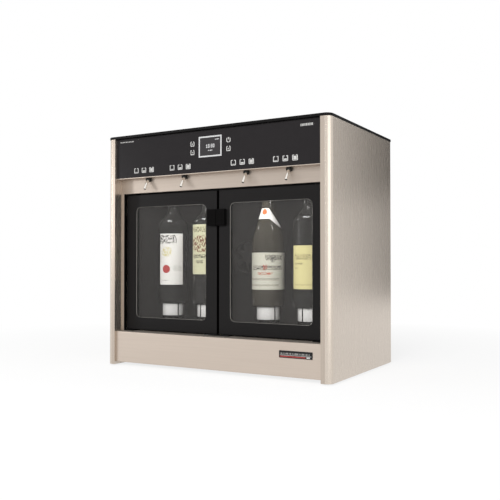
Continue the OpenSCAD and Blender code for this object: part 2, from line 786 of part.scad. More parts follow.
// Each line runs back from its head and bends across to its port on the manifold.
module gas_lines() color(WHITE) for (i = [0:3]) {
    stub = [0, stub_l, 0];
    start = [STATIONS[i], station_y + stem_r + port_reach, port_z];
    end = [manifold_x(i), rear_y0 - manifold_d - port_reach, port_z];
    a = start + stub;
    b = end - stub;
    reach = [0, (b - a)[1] / 2, 0];
    curve = [for (k = [0:12]) bezier(a, a + reach, b - reach, b, k / 12)];
    sweep(concat([start], curve, [end]), hose_r - 1, 8, [0, 0, 1]);
}

// Block on the rear panel with four hose ports in front and the gas inlet behind.
module gas_manifold() color(BRASS) difference() {
    union() {
        block(span(0, manifold_w / 2), [rear_y0 - manifold_d, rear_y0], span(port_z, manifold_h / 2));
        rod_y(0, port_z, 7.5, rear_y0, rear_y1 + 9);
        for (i = [0:3]) rod_y(manifold_x(i), port_z, hose_r, rear_y0 - manifold_d - port_reach, rear_y0);
    }
    rod_y(0, port_z, gas_port_r, rear_y1 + 9 - gas_port_l, rear_y1 + 9 + eps);
    rod_y(0, port_z, line_bore, rear_y0 - manifold_d / 2, rear_y1);
}

// ---------------------------------------------------------------- spouts

// Middle of a spout where it leaves its collar.
function spout_foot(x) = [x, spout_y, band_z1 - collar_h];

// Straight rods along each spout's axis, from the tip's height upwards.
module spout_rods(r, extra) for (x = STATIONS)
    translate(spout_foot(x)) rotate([-spout_tilt, 0, 0]) {
        low = spout_drop / cos(spout_tilt);
        translate([0, 0, -low - extra]) cylinder(r = r, h = low + spout_up / cos(spout_tilt) + 2 * extra);
    }

module spout_tubes() color(POLISHED) difference() {
    spout_rods(spout_r, 0);
    spout_rods(spout_bore, eps);
}

// Bosses seated in the corner between the shelf and the band, square to the spouts.
module spout_collars() color(BLACK) difference() {
    reach = 2 * collar_h;
    for (x = STATIONS) translate(spout_foot(x)) rotate([-spout_tilt, 0, 0]) cylinder(r = collar_r, h = reach);
    block([-panel_in, panel_in], from(spout_y - 2 * reach, 4 * reach), from(band_z1, 2 * reach));
    block([-panel_in, panel_in], from(frame_y, 2 * reach), from(band_z1 - 2 * reach, 2 * reach + eps));
    spout_rods(spout_r + 0.1, eps);
}

// ---------------------------------------------------------------- cooling

// A base plate with upright fins; dir is the way the fins point along Y.
module finned_sink(w, base, fin, y, dir, gap) {
    block(span(0, w / 2), dir > 0 ? from(y, base) : from(y - base, base), span(cooler_mid, w / 2));
    tip = y + dir * (base + fin);
    root = y + dir * base;
    for (x = [-w / 2:gap:w / 2 - 1.5])
        block(from(x, 1.5), [min(root, tip), max(root, tip)], span(cooler_mid, w / 2));
}

module cold_sink() color(ALUMINIUM) {
    finned_sink(fan_w, sink_base, cold_fin, cabin_y1, -1, 6.5);
    block(span(0, sink_boss / 2), [cabin_y1, pad_y], span(cooler_mid, sink_boss / 2));
}

pad_y = cabin_y1 + liner_t + 2;

module thermoelectric_module() color(WHITE)
    block(span(0, module_w / 2), from(pad_y, module_t), span(cooler_mid, module_w / 2));

module hot_sink() color(ALUMINIUM) {
    block(span(0, sink_boss / 2), [pad_y + module_t, foam_y1], span(cooler_mid, sink_boss / 2));
    finned_sink(hot_w, hot_base, hot_fin, foam_y1, 1, 7.9);
}

cold_fan_y = cabin_y1 - sink_base - cold_fin - fan_t; // front of the cold fan
hot_fan_y = foam_y1 + hot_base + hot_fin; // front of the hot fan

// Square frame with its round duct, three struts, the motor plate and the spindle.
module fan_frame(y) {
    duct = fan_w / 2 - 2;
    difference() {
        upright_plate(0, cooler_mid, fan_w, fan_w, 4, y, y + fan_t);
        rod_y(0, cooler_mid, duct, y - eps, y + fan_t + eps);
    }
    for (a = [90, 210, 330]) translate([0, y, cooler_mid]) rotate([0, a, 0])
        translate([hub_r - 2, 0, -2]) cube([duct - hub_r + 2.5, 2, 4]);
    rod_y(0, cooler_mid, hub_r, y, y + 2);
    rod_y(0, cooler_mid, spindle_r, y, y + fan_t - 3);
}

module fan_frames() color(BLACK) {
    fan_frame(cold_fan_y);
    fan_frame(hot_fan_y);
}

// Hub that turns on the spindle, with pitched blades.
module fan_rotor(y) color(RUBBER) {
    blade = fan_w / 2 - 4.5 - hub_r;
    translate([0, y + 2.5, cooler_mid]) rotate([-90, 0, 0]) difference() {
        union() {
            cylinder(r = hub_r, h = fan_t - 4.5);
            for (i = [0:fan_blades - 1]) rotate([0, 0, i * 360 / fan_blades])
                translate([hub_r + blade / 2 - 1, 0, (fan_t - 4.5) / 2]) rotate([34, 0, 0])
                    cube([blade + 2, 15, 1.5], center = true);
        }
        translate([0, 0, -eps]) cylinder(r = spindle_r + run_clear, h = fan_t);
    }
}

module cold_fan_rotor() fan_rotor(cold_fan_y);

module hot_fan_rotor() fan_rotor(hot_fan_y);

// ---------------------------------------------------------------- electrics

// Closed case on the base pan, with its terminal block in front.
module power_supply() color(ALUMINIUM) {
    case_y0 = foam_y1 + supply_gap;
    x0 = inlet_x - supply_w / 3;
    block(from(x0, supply_w), [case_y0, rear_y0 - 8], from(base_z1, supply_h));
    block(from(x0 + 8, supply_w - 16), from(case_y0 - 6, 6), from(base_z1 + 6, terminal_h));
}

// Appliance inlet with three pins, and above it the well for the rocker.
module power_inlet() color(BLACK) {
    flange_y = rear_y1 + flange_t;
    body = [inlet_w / 2 - inlet_rim - glass_clear, inlet_h / 2 - inlet_rim - glass_clear];
    well = [rocker_x + 0.4, rocker_r + 1.4];
    difference() {
        union() {
            upright_plate(inlet_x, inlet_z, inlet_w, inlet_h, 3, rear_y1, flange_y);
            block(span(inlet_x, body[0]), [rear_y1 - inlet_d, rear_y1], span(inlet_z, body[1]));
        }
        upright_plate(inlet_x, inlet_z - socket_drop, socket_w, socket_h, 3,
            rear_y1 - socket_d, flange_y + eps);
        block(span(inlet_x, well[0]), [rear_y1 - 10, flange_y + eps], span(rocker_z, well[1]));
        translate([inlet_x - axle_x, rocker_axis_y, rocker_z]) rotate([0, 90, 0])
            cylinder(r = axle_r + run_clear, h = 2 * axle_x);
    }
    // The middle pin stands above the other two
    for (i = [-1, 0, 1])
        block(span(inlet_x + 7 * i, 1), from(rear_y1 - socket_d - 2, 17),
            from(inlet_z - socket_drop - (i == 0 ? 0 : 4), 4));
}

rocker_axis_y = rear_y1 - 1;
axle_x = rocker_x + 2.6; // half the length of the bore for the rocker's axle

// The switch's rocker, at rest with its lower end pressed in.
module power_rocker() color(BLACK) translate([inlet_x, rocker_axis_y, rocker_z]) {
    t = rocker_t;
    rotate([-rocker_lean, 0, 0]) rotate([90, 0, 90]) linear_extrude(2 * rocker_x, center = true)
        polygon([[2.3, 0], [t, rocker_r], [0, rocker_r], [-t, 3], [-t, -3], [0, -rocker_r], [t, -rocker_r]]);
    translate([-rocker_x - 2, 0, 0]) rotate([0, 90, 0]) cylinder(r = axle_r, h = 2 * rocker_x + 4);
}

// ---------------------------------------------------------------- assembly

top_cover();
side_panel_left();
side_panel_right();
control_fascia();
fascia_carrier();
display_module();
control_board();
front_frame();
plinth_panel();
badge_plate();
base_pan();
rear_panel();
rear_grille();
rubber_feet();
cabin_liner();
cabin_insulation();
led_strips();
hinge_brackets();
door_stop_plate();
door_frame_left();
door_frame_right();
door_glass_left();
door_glass_right();
door_gasket_left();
door_gasket_right();
door_pull_left();
door_pull_right();
lift_guides();
lift_platform(0);  // lift_platform_1
lift_platform(1);  // lift_platform_2
lift_platform(2);  // lift_platform_3
lift_platform(3);  // lift_platform_4
lift_spring(0);  // lift_spring_1
lift_spring(1);  // lift_spring_2
lift_spring(2);  // lift_spring_3
lift_spring(3);  // lift_spring_4
bottle(0);  // bottle_1
bottle(1);  // bottle_2
bottle(2);  // bottle_3
bottle(3);  // bottle_4
bottle_stopper(0);  // bottle_stopper_1
bottle_stopper(1);  // bottle_stopper_2
bottle_stopper(2);  // bottle_stopper_3
bottle_stopper(3);  // bottle_stopper_4
docking_heads();
spout_tubes();
spout_collars();
pinch_valves();
wine_lines();
gas_lines();
gas_manifold();
power_supply();
power_inlet();
power_rocker();
cold_sink();
thermoelectric_module();
hot_sink();
fan_frames();
cold_fan_rotor();
hot_fan_rotor();
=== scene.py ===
"""Looks of a four-bottle wine preservation dispenser with two glass doors.

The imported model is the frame: its nodes are never moved. This script dresses them, and replaces those that
show most with pieces modelled in edit mode. Lengths are in metres. The front faces -Y and +X is to the right.
"""

from __future__ import annotations

import json
import logging
import math
from collections.abc import Callable, Sequence
from dataclasses import dataclass, field
from enum import Enum
from typing import Any

import bmesh
import bpy
from mathutils import Matrix, Vector

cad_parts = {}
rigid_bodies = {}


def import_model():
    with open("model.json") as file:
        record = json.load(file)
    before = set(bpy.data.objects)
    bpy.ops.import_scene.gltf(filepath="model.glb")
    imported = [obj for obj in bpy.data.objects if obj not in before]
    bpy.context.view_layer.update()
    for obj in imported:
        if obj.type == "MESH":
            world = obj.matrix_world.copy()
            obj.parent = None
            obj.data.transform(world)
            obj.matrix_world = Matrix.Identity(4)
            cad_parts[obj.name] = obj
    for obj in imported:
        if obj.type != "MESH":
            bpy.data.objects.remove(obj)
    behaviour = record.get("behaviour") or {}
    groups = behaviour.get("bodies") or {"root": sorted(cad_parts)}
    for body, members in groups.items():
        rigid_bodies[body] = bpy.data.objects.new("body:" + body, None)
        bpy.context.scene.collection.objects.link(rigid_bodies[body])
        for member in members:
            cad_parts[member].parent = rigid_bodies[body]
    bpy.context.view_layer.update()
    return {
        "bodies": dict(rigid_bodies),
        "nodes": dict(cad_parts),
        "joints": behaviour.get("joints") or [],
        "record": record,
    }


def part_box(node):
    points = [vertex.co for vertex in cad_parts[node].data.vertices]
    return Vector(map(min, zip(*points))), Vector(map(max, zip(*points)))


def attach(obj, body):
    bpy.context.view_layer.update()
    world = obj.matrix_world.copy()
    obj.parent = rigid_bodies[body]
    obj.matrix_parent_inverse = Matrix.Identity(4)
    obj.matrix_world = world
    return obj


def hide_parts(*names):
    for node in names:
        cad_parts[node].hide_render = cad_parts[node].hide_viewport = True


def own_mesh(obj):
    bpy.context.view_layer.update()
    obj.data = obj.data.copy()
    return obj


log = logging.getLogger("dispenser")

X, Y, Z = Vector((1, 0, 0)), Vector((0, 1, 0)), Vector((0, 0, 1))
Object = bpy.types.Object
Tree = bpy.types.NodeTree
Socket = bpy.types.NodeSocket
Test = Callable[[Vector, Vector], bool]

DOUBLE = 1e-6  # points nearer than this are one
NEAR = 1e-4  # how far from a plane an edge in it may lie
ALONG = 0.9  # least share of a direction that counts as along an axis
LEANS = 0.7  # least share of a normal on a face that leans towards an axis
FLAT = 0.99  # least share of a normal on a face that is square to an axis
HAIR = 0.0005  # how far past a corner a face that is repainted may reach
INK = 0.00015  # thickness of a print
TURNED_ANGLE = 40  # degrees up to which turned pieces are shaded smooth
GLASS_ANGLE = 50  # the same for bottles and what is wrapped round them
SHOULDER_STEPS = 12  # parts of a bottle's curved shoulder
STROKE_SHAPE = 0.45  # a printed stroke's width as a share of its height

# Places that several pieces share, in the CAD frame
STATIONS = (-0.186, -0.082, 0.082, 0.186)
STATION_Y = -0.0595
SPOUT_FOOT = Vector((STATIONS[0], -0.16016, 0.438))
SPOUT_TILT = math.radians(31)
SPOUT_AXIS = Vector((0, math.sin(SPOUT_TILT), math.cos(SPOUT_TILT)))


def every(middle: Vector, way: Vector) -> bool:
    """Passes anything."""
    return True


def runs_back(middle: Vector, way: Vector) -> bool:
    """Passes edges that run from front to back."""
    return way.y > ALONG


# ---------------------------------------------------------------- materials


class Pattern(Enum):
    """How a surface varies: the stretch of its pattern along X, Y and Z, in feature sizes."""

    EVEN = (1.0, 1.0, 1.0)
    ALONG_X = (90.0, 1.0, 1.0)
    ALONG_Z = (1.0, 1.0, 90.0)


def linear(colour: str) -> tuple[float, float, float, float]:
    """Turns an sRGB hex colour to the linear values that shaders take, with full opacity."""
    parts = [int(colour[i : i + 2], 16) / 255 for i in (1, 3, 5)]
    red, green, blue = (p / 12.92 if p <= 0.04045 else ((p + 0.055) / 1.055) ** 2.4 for p in parts)
    return red, green, blue, 1.0


def blank(owner: bpy.types.Material | bpy.types.World) -> Tree:
    """Returns the emptied node tree of a material or a world."""
    owner.use_nodes = True
    owner.node_tree.nodes.clear()
    return owner.node_tree


def add(tree: Tree, kind: str, inputs: dict[Any, Any] | None = None, **settings: Any) -> bpy.types.Node:
    """Adds a node with its settings.

    Args:
        tree: The node tree that the node joins.
        kind: Blender's name of the node's type.
        inputs: Input name or index to a value, or to the output that feeds it.
        **settings: Properties of the node.

    Returns:
        The new node.
    """
    made = tree.nodes.new(kind)
    for name, value in settings.items():
        setattr(made, name, value)
    for name, value in (inputs or {}).items():
        if isinstance(value, Socket):
            tree.links.new(value, made.inputs[name])
        else:
            made.inputs[name].default_value = value
    return made


def mix(tree: Tree, share: Any, first: Any, second: Any) -> Socket:
    """Returns the mix of two colours, each a value or an output."""
    return add(tree, "ShaderNodeMix", {0: share, 6: first, 7: second}, data_type="RGBA").outputs[2]


def number(tree: Tree, operation: str, a: Any, b: Any = 0.0) -> Socket:
    """Returns the result of one sum on two values or outputs."""
    return add(tree, "ShaderNodeMath", {0: a, 1: b}, operation=operation).outputs[0]


def ramp(tree: Tree, value: Socket, **limits: float) -> Socket:
    """Returns a value mapped to other limits, named low, high, start and end."""
    names = {"start": "From Min", "end": "From Max", "low": "To Min", "high": "To Max"}
    inputs = {"Value": value, **{names[key]: limit for key, limit in limits.items()}}
    return add(tree, "ShaderNodeMapRange", inputs).outputs["Result"]


def white_light(tree: Tree, strength: Any, kind: str = "ShaderNodeEmission") -> Socket:
    """Returns white light of a strength, for a surface or for the world."""
    return add(tree, kind, {"Color": (1, 1, 1, 1), "Strength": strength}).outputs[0]


@dataclass(frozen=True)
class Finish:
    """One surface: its two tones, its shader's values and the real size of its pattern."""

    name: str
    colour: str
    second: str
    roughness: float
    metallic: float = 0.0
    pattern: Pattern = Pattern.EVEN
    feature: float = 0.002
    depth: float = 0.0
    rough_range: float = 0.06
    opacity: float = 1.0
    specular: float = 0.5
    glow: float = 0.0

    def material(self) -> bpy.types.Material:
        """Returns the finish as a node material, made once."""
        found = bpy.data.materials.get(self.name)
        if found:
            return found
        made = bpy.data.materials.new(self.name)
        tree = blank(made)
        place = add(tree, "ShaderNodeTexCoord").outputs["Object"]
        noise = self.noise(tree, place)
        self.shader(tree, self.tone(tree, place, noise), noise)
        return made

    def noise(self, tree: Tree, place: Socket) -> Socket:
        """Returns the pattern's value from 0 to 1 at each place."""
        scale = tuple(1 / (self.feature * stretch) for stretch in self.pattern.value)
        stretched = add(tree, "ShaderNodeMapping", {"Vector": place, "Scale": scale}).outputs["Vector"]
        return add(tree, "ShaderNodeTexNoise", {"Vector": stretched, "Scale": 1.0, "Detail": 3.0}).outputs["Fac"]

    def tone(self, tree: Tree, place: Socket, noise: Socket) -> Socket:
        """Returns the base colour: the two tones, mixed by the pattern."""
        return mix(tree, noise, linear(self.colour), linear(self.second))

    def shader(self, tree: Tree, colour: Socket, noise: Socket) -> None:
        """Ends the material in its shader, with roughness and bump from the pattern."""
        low, high = self.roughness - self.rough_range, self.roughness + self.rough_range
        inputs: dict[str, Any] = {
            "Base Color": colour,
            "Roughness": ramp(tree, noise, low=low, high=high),
            "Metallic": self.metallic,
            "Specular IOR Level": self.specular,
            "Alpha": self.opacity,
            "Emission Strength": self.glow,
        }
        if self.glow:
            inputs["Emission Color"] = linear(self.colour)
        if self.depth:
            bump = add(tree, "ShaderNodeBump", {"Height": noise, "Distance": self.depth})
            inputs["Normal"] = bump.outputs["Normal"]
        shader = add(tree, "ShaderNodeBsdfPrincipled", inputs)
        add(tree, "ShaderNodeOutputMaterial", {"Surface": shader.outputs["BSDF"]})


def brushed(
    stem: str, colour: str, second: str, roughness: float, pattern: Pattern, metallic: float = 0.92
) -> Finish:
    """Returns brushed steel, whose highlights run out along the brushing."""
    name = stem + "_brushed_steel"
    return Finish(name, colour, second, roughness, metallic, pattern, feature=0.0016, depth=0.00001)


class Steel:
    """Sheet steel with a warm clear lacquer, and bare steel. The darker copies on the side panels' front faces and on
    the plinth's ledge are painted shade.
    """

    side = brushed("side", "#d1c6ba", "#c7bcb0", 0.27, Pattern.ALONG_Z)
    # Darker copy of the side steel for the side panels' front faces: painted shade
    post = brushed("post", "#beb2a6", "#b4a89c", 0.34, Pattern.ALONG_Z)
    front = brushed("front", "#c9bcb0", "#bfb2a6", 0.38, Pattern.ALONG_X)
    band = brushed("band", "#b9ada2", "#afa398", 0.42, Pattern.ALONG_X)
    # Darker, less metallic copy of the plinth's steel for its ledge, toned to the light falling there: painted shade
    ledge = brushed("ledge", "#857d75", "#7c756d", 0.5, Pattern.ALONG_X, 0.3)
    polished = Finish("polished_steel", "#f7f3ec", "#f0ece5", 0.16, 1.0, feature=0.004, rough_range=0.03)
    galvanised = Finish("galvanised_sheet", "#a3a4a2", "#8f9190", 0.45, 1.0, feature=0.012, rough_range=0.1)
    spring = Finish("drawn_spring_wire", "#9a9a98", "#83837f", 0.3, 1.0)


class Paint:
    """Black paint: powder coat with a fine grain, and a duller near-black one. The duller one is the pull's own black,
    and painted shade on the doors' sides, the doorway's returns and the gaskets.
    """

    black = Finish("black_powder_coat", "#0a0909", "#060606", 0.42, feature=0.0012, depth=0.00004, specular=0.12)
    # Near-black matt: the pull's black, and painted shade in the gaps round the doors
    matt = Finish("matt_black_and_painted_shade", "#060505", "#040404", 0.6, feature=0.0012, specular=0.04)


class Plastic:
    """Moulded parts: ABS and nylon with a spark-eroded grain, and rubber, which is duller."""

    black = Finish("moulded_black_abs", "#0d0d0d", "#080808", 0.5, feature=0.0012, depth=0.00005, specular=0.08)
    gloss = Finish("gloss_black_abs", "#0c0c0c", "#090909", 0.25, feature=0.006, specular=0.3)
    liner = Finish("dark_grey_liner", "#2c2a29", "#262423", 0.6, feature=0.003, depth=0.00005, specular=0.2)
    diffuser = Finish("frosted_diffuser", "#f4f1ea", "#e6e3dc", 0.5, feature=0.004)
    white = Finish("white_nylon", "#dcdad4", "#cfccc6", 0.5)
    board = Finish("circuit_board_lacquer", "#1d5134", "#174429", 0.35, feature=0.003)
    foam = Finish("rigid_foam", "#d9cfae", "#c9be9a", 0.9, feature=0.003, depth=0.0003)
    ceramic = Finish("alumina_ceramic", "#e4e4e0", "#d8d8d4", 0.6, feature=0.001)
    rubber = Finish("black_rubber", "#161616", "#0f0f0f", 0.75, feature=0.0015, depth=0.00005)
    stopper = Finish("food_grade_stopper", "#1c1c1c", "#151515", 0.6, depth=0.00003)
    fan = Finish("fan_nylon", "#302e2d", "#2a2827", 0.6, depth=0.00003, specular=0.2)
    hose = Finish("clear_silicone_hose", "#cfd0cb", "#c2c3be", 0.4, feature=0.004, opacity=0.85)
    platform = Finish("satin_white_platform", "#f4f2ef", "#eae8e4", 0.35, feature=0.0035, rough_range=0.08)


class Metal:
    """Turned and extruded metal parts."""

    aluminium = Finish("milled_aluminium", "#b4b6b8", "#a2a4a7", 0.38, 1.0, depth=0.00002)
    anodised = Finish("black_anodised_aluminium", "#2c2a29", "#262423", 0.45, 0.6, depth=0.00002)
    brass = Finish("turned_brass", "#c09a55", "#ad8744", 0.3, 1.0, feature=0.003)
    trim = Finish("bright_window_trim", "#a5a29d", "#9b9893", 0.25, 1.0)
    door = Finish("black_door_enamel", "#141313", "#111010", 0.36, feature=0.003, rough_range=0.03, specular=0.1)


class Glass:
    """Flat glass, printed black or faintly tinted with an anti-glare coat, and the bottles' dark glass."""

    fascia = Finish("black_printed_glass", "#191718", "#161415", 0.22, feature=0.02, rough_range=0.02, specular=0.13)
    outer = Finish("tinted_outer_pane", "#504e4c", "#4c4a48", 0.06, opacity=0.12, feature=0.05, rough_range=0.01)
    inner = Finish("clear_inner_pane", "#504e4c", "#4c4a48", 0.06, opacity=0.05, feature=0.05, rough_range=0.01)
    green = Finish("dark_green_bottle", "#242422", "#20201e", 0.12, opacity=0.7, feature=0.02, specular=0.3)
    brown = Finish("dark_brown_bottle", "#4b473d", "#433f36", 0.12, opacity=0.75, feature=0.02, specular=0.4)


class Print:
    """Inks on the glass and the labels, and the wine behind the bottles' glass."""

    white = Finish("pale_grey_ink", "#999896", "#91908e", 0.6, feature=0.001)
    faint = Finish("grey_ink", "#8f8e8c", "#878684", 0.6, feature=0.001)
    grey = Finish("dim_grey_ink", "#6a6866", "#605e5c", 0.6, feature=0.001)
    lit = Finish("lit_display_ink", "#9a9a9a", "#929292", 0.6, feature=0.001, glow=0.12)
    red = Finish("dark_red_ink", "#7c2a26", "#6c211e", 0.6, feature=0.001)
    screen = Finish("display_window", "#242223", "#201e1f", 0.3, feature=0.02, specular=0.25)
    wine = Finish("red_wine", "#33292a", "#2b2223", 0.08, feature=0.03, specular=0.1)


# ---------------------------------------------------------------- modelling


class Element(Enum):
    """What an edit-mode step acts on."""

    VERT = "VERT"
    EDGE = "EDGE"
    FACE = "FACE"


class Bench:
    """Modelling steps that the pieces share. Each leaves its piece active and selected."""

    @staticmethod
    def clear() -> None:
        """Leaves edit mode with nothing selected."""
        if bpy.context.object and bpy.context.object.mode == "EDIT":
            bpy.ops.object.mode_set(mode="OBJECT")
        bpy.ops.object.select_all(action="DESELECT")

    @staticmethod
    def settle(name: str, scale: Sequence[float] = (1, 1, 1)) -> Object:
        """Names the new primitive, stretches it and puts its place in its mesh."""
        piece = bpy.context.object
        piece.name = piece.data.name = name
        piece.scale = scale
        bpy.ops.object.transform_apply(location=True, rotation=True, scale=True)
        return piece

    @classmethod
    def block(cls, name: str, low: Vector, high: Vector) -> Object:
        """Starts a piece as a block between two corners."""
        cls.clear()
        bpy.ops.mesh.primitive_cube_add(size=1, location=(low + high) / 2)
        return cls.settle(name, high - low)

    @classmethod
    def plane(cls, name: str, width: float, depth: float) -> Object:
        """Starts a piece as a level sheet round the origin."""
        cls.clear()
        bpy.ops.mesh.primitive_plane_add(size=1, location=(0, 0, 0))
        return cls.settle(name, (width, depth, 1))

    @classmethod
    def sheet_front(cls, name: str, low: Vector, high: Vector) -> Object:
        """Starts a piece as a flat sheet that faces the front, at the lower corner's depth."""
        cls.clear()
        middle = Vector(((low.x + high.x) / 2, low.y, (low.z + high.z) / 2))
        bpy.ops.mesh.primitive_plane_add(size=1, location=middle, rotation=(math.pi / 2, 0, 0))
        return cls.settle(name, (high.x - low.x, high.z - low.z, 1))

    @classmethod
    def pick(cls, piece: Object, kind: Element, test: Test) -> int:
        """Selects in edit mode what passes a test.

        Args:
            piece: The piece, which is made active.
            kind: Whether vertices, edges or faces are tested.
            test: Takes the middle, and the normal or an edge's direction.

        Returns:
            How many were selected.
        """
        bpy.context.view_layer.objects.active = piece
        if piece.mode != "EDIT":
            bpy.ops.object.mode_set(mode="EDIT")
        bpy.ops.mesh.select_mode(type=kind.value)
        bpy.ops.mesh.select_all(action="DESELECT")
        mesh = bmesh.from_edit_mesh(piece.data)
        mesh.normal_update()
        if kind is Element.VERT:
            found = [(v, v.co, v.normal) for v in mesh.verts]
        elif kind is Element.EDGE:
            found = [(e, (e.verts[0].co + e.verts[1].co) / 2, cls.direction(e)) for e in mesh.edges]
        else:
            found = [(f, f.calc_center_median(), f.normal) for f in mesh.faces]
        chosen = [item for item, middle, way in found if test(middle, way)]
        for item in chosen:
            item.select_set(True)
        mesh.select_flush_mode()
        bmesh.update_edit_mesh(piece.data)
        return len(chosen)

    @staticmethod
    def direction(edge: bmesh.types.BMEdge) -> Vector:
        """Returns an edge's direction, without a sign."""
        way = (edge.verts[1].co - edge.verts[0].co).normalized()
        return Vector((abs(way.x), abs(way.y), abs(way.z)))

    @classmethod
    def round_edges(cls, piece: Object, test: Test, radius: float, segments: int = 6) -> None:
        """Rounds the edges that pass a test."""
        cls.pick(piece, Element.EDGE, test)
        bpy.ops.mesh.bevel(offset=radius, segments=segments, affect="EDGES")

    @classmethod
    def fold(cls, piece: Object, test: Test, way: Vector) -> None:
        """Draws out the edges that pass a test."""
        cls.pick(piece, Element.EDGE, test)
        bpy.ops.mesh.extrude_region_move(TRANSFORM_OT_translate={"value": way})

    @classmethod
    def remove_faces(cls, piece: Object, test: Test) -> None:
        """Deletes the faces that pass a test."""
        if cls.pick(piece, Element.FACE, test):
            bpy.ops.mesh.delete(type="FACE")

    @classmethod
    def hollow(cls, piece: Object, border: float) -> None:
        """Leaves only a border of a flat sheet."""
        cls.pick(piece, Element.FACE, every)
        bpy.ops.mesh.inset(thickness=border, depth=0)
        bpy.ops.mesh.delete(type="FACE")

    @classmethod
    def split(cls, piece: Object, point: Vector, normal: Vector, clear: bool = False, fill: bool = False) -> None:
        """Cuts the mesh with a plane. It can drop what lies on the normal's side and fill the cut."""
        cls.pick(piece, Element.FACE, every)
        bpy.ops.mesh.bisect(plane_co=point, plane_no=normal, clear_outer=clear, use_fill=fill)

    @classmethod
    def modify(cls, piece: Object, kind: str, **settings: Any) -> None:
        """Adds a modifier with its settings and applies it."""
        bpy.context.view_layer.objects.active = piece
        if piece.mode == "EDIT":
            bpy.ops.object.mode_set(mode="OBJECT")
        modifier = piece.modifiers.new(kind.lower(), kind)
        for name, value in settings.items():
            setattr(modifier, name, value)
        bpy.ops.object.modifier_apply(modifier=modifier.name)

    @classmethod
    def thicken(cls, piece: Object, thickness: float, outward: bool = False) -> None:
        """Gives a sheet its thickness, behind its faces or in front of them."""
        cls.modify(piece, "SOLIDIFY", thickness=thickness, offset=1.0 if outward else -1.0, use_even_offset=True)

    @classmethod
    def cut(cls, piece: Object, tool: Object) -> None:
        """Cuts a tool's shape out of a piece and removes the tool."""
        cls.clear()
        piece.select_set(True)
        cls.modify(piece, "BOOLEAN", operation="DIFFERENCE", object=tool, solver="EXACT")
        bpy.data.objects.remove(tool)

    @classmethod
    def rod(cls, start: Vector, end: Vector, radius: float) -> Object:
        """Makes a round tool between two points, for cutting."""
        cls.clear()
        way = end - start
        turn = way.to_track_quat("Z", "Y").to_euler()
        bpy.ops.mesh.primitive_cylinder_add(
            vertices=32, radius=radius, depth=way.length, location=(start + end) / 2, rotation=turn
        )
        return cls.settle("round_cutter")

    @classmethod
    def face(cls, piece: Object, way: Callable[[Vector], Vector]) -> None:
        """Makes an open sheet's faces agree, with the largest along the direction that fits its middle."""
        cls.pick(piece, Element.FACE, every)
        bpy.ops.mesh.normals_make_consistent(inside=False)
        mesh = bmesh.from_edit_mesh(piece.data)
        largest = max(mesh.faces, key=lambda face: face.calc_area())
        if largest.normal.dot(way(largest.calc_center_median())) < 0:
            bpy.ops.mesh.flip_normals()

    @classmethod
    def drawn(cls, name: str, points: Sequence[Vector]) -> Object:
        """Starts a piece as a line through points."""
        cls.clear()
        bpy.ops.mesh.primitive_plane_add(size=0.001, location=points[0])
        piece = cls.settle(name)
        cls.pick(piece, Element.VERT, every)
        bpy.ops.mesh.merge(type="CENTER")
        for start, end in zip(points, points[1:]):
            bpy.ops.mesh.extrude_region_move(TRANSFORM_OT_translate={"value": end - start})
        bpy.ops.mesh.select_all(action="SELECT")
        return piece

    @classmethod
    def swept(cls, name: str, points: Sequence[Vector], middle: Vector, degrees: float) -> Object:
        """Makes a sheet by spinning a line round an upright axis, from the front towards the right."""
        piece = cls.drawn(name, points)
        bpy.ops.mesh.spin(steps=48, angle=math.radians(degrees), center=middle, axis=-Z, dupli=False)
        bpy.ops.mesh.select_all(action="SELECT")
        bpy.ops.mesh.remove_doubles(threshold=DOUBLE)
        cls.face(piece, lambda place: Vector((place.x - middle.x, place.y - middle.y, 0)))
        return piece

    @classmethod
    def turned(
        cls,
        name: str,
        profile: Sequence[tuple[float, float]],
        foot: Vector,
        axis: Vector = Z,
        side: Vector = X,
        steps: int = 64,
    ) -> Object:
        """Makes a closed turned piece by spinning its outline.

        Args:
            name: The piece's name.
            profile: Radius and height of each point of the outline, from one end to the other.
            foot: The place on the axis where heights start.
            axis: Direction of the axis.
            side: Direction square to the axis, in which the outline is drawn.
            steps: Faces round the axis.

        Returns:
            The piece, with its faces outwards.
        """
        piece = cls.drawn(name, [foot + side * radius + axis * height for radius, height in profile])
        bpy.ops.mesh.spin(steps=steps, angle=2 * math.pi, center=foot, axis=axis, dupli=False)
        cls.pick(piece, Element.FACE, every)
        bpy.ops.mesh.remove_doubles(threshold=DOUBLE)
        bpy.ops.mesh.normals_make_consistent(inside=False)
        return piece

    @classmethod
    def finish(cls, piece: Object, edge: float = 0.0, segments: int = 2, angle: float = 35) -> None:
        """Rounds what is still sharp and shades the piece.

        Args:
            piece: The piece.
            edge: Radius of the rounding, or 0 for none. Broad faces stay flat beside it.
            segments: Steps of the rounding.
            angle: Largest angle in degrees that is still shaded smooth.
        """
        limit = math.radians(angle)
        if edge:
            cls.modify(piece, "BEVEL", width=edge, segments=segments, limit_method="ANGLE", angle_limit=limit)
        cls.clear()
        piece.select_set(True)
        bpy.context.view_layer.objects.active = piece
        bpy.ops.object.shade_smooth_by_angle(angle=limit)
        if edge:
            cls.pick_broad(piece)
            bpy.ops.mesh.faces_shade_flat()
            bpy.ops.object.mode_set(mode="OBJECT")
        piece.select_set(False)

    @classmethod
    def pick_broad(cls, piece: Object, width: float = 0.005) -> None:
        """Selects the faces that are wider than a rounding's strips."""
        cls.pick(piece, Element.FACE, lambda middle, way: False)
        mesh = bmesh.from_edit_mesh(piece.data)
        for face in mesh.faces:
            if 2 * face.calc_area() > width * face.calc_perimeter():
                face.select_set(True)
        bmesh.update_edit_mesh(piece.data)

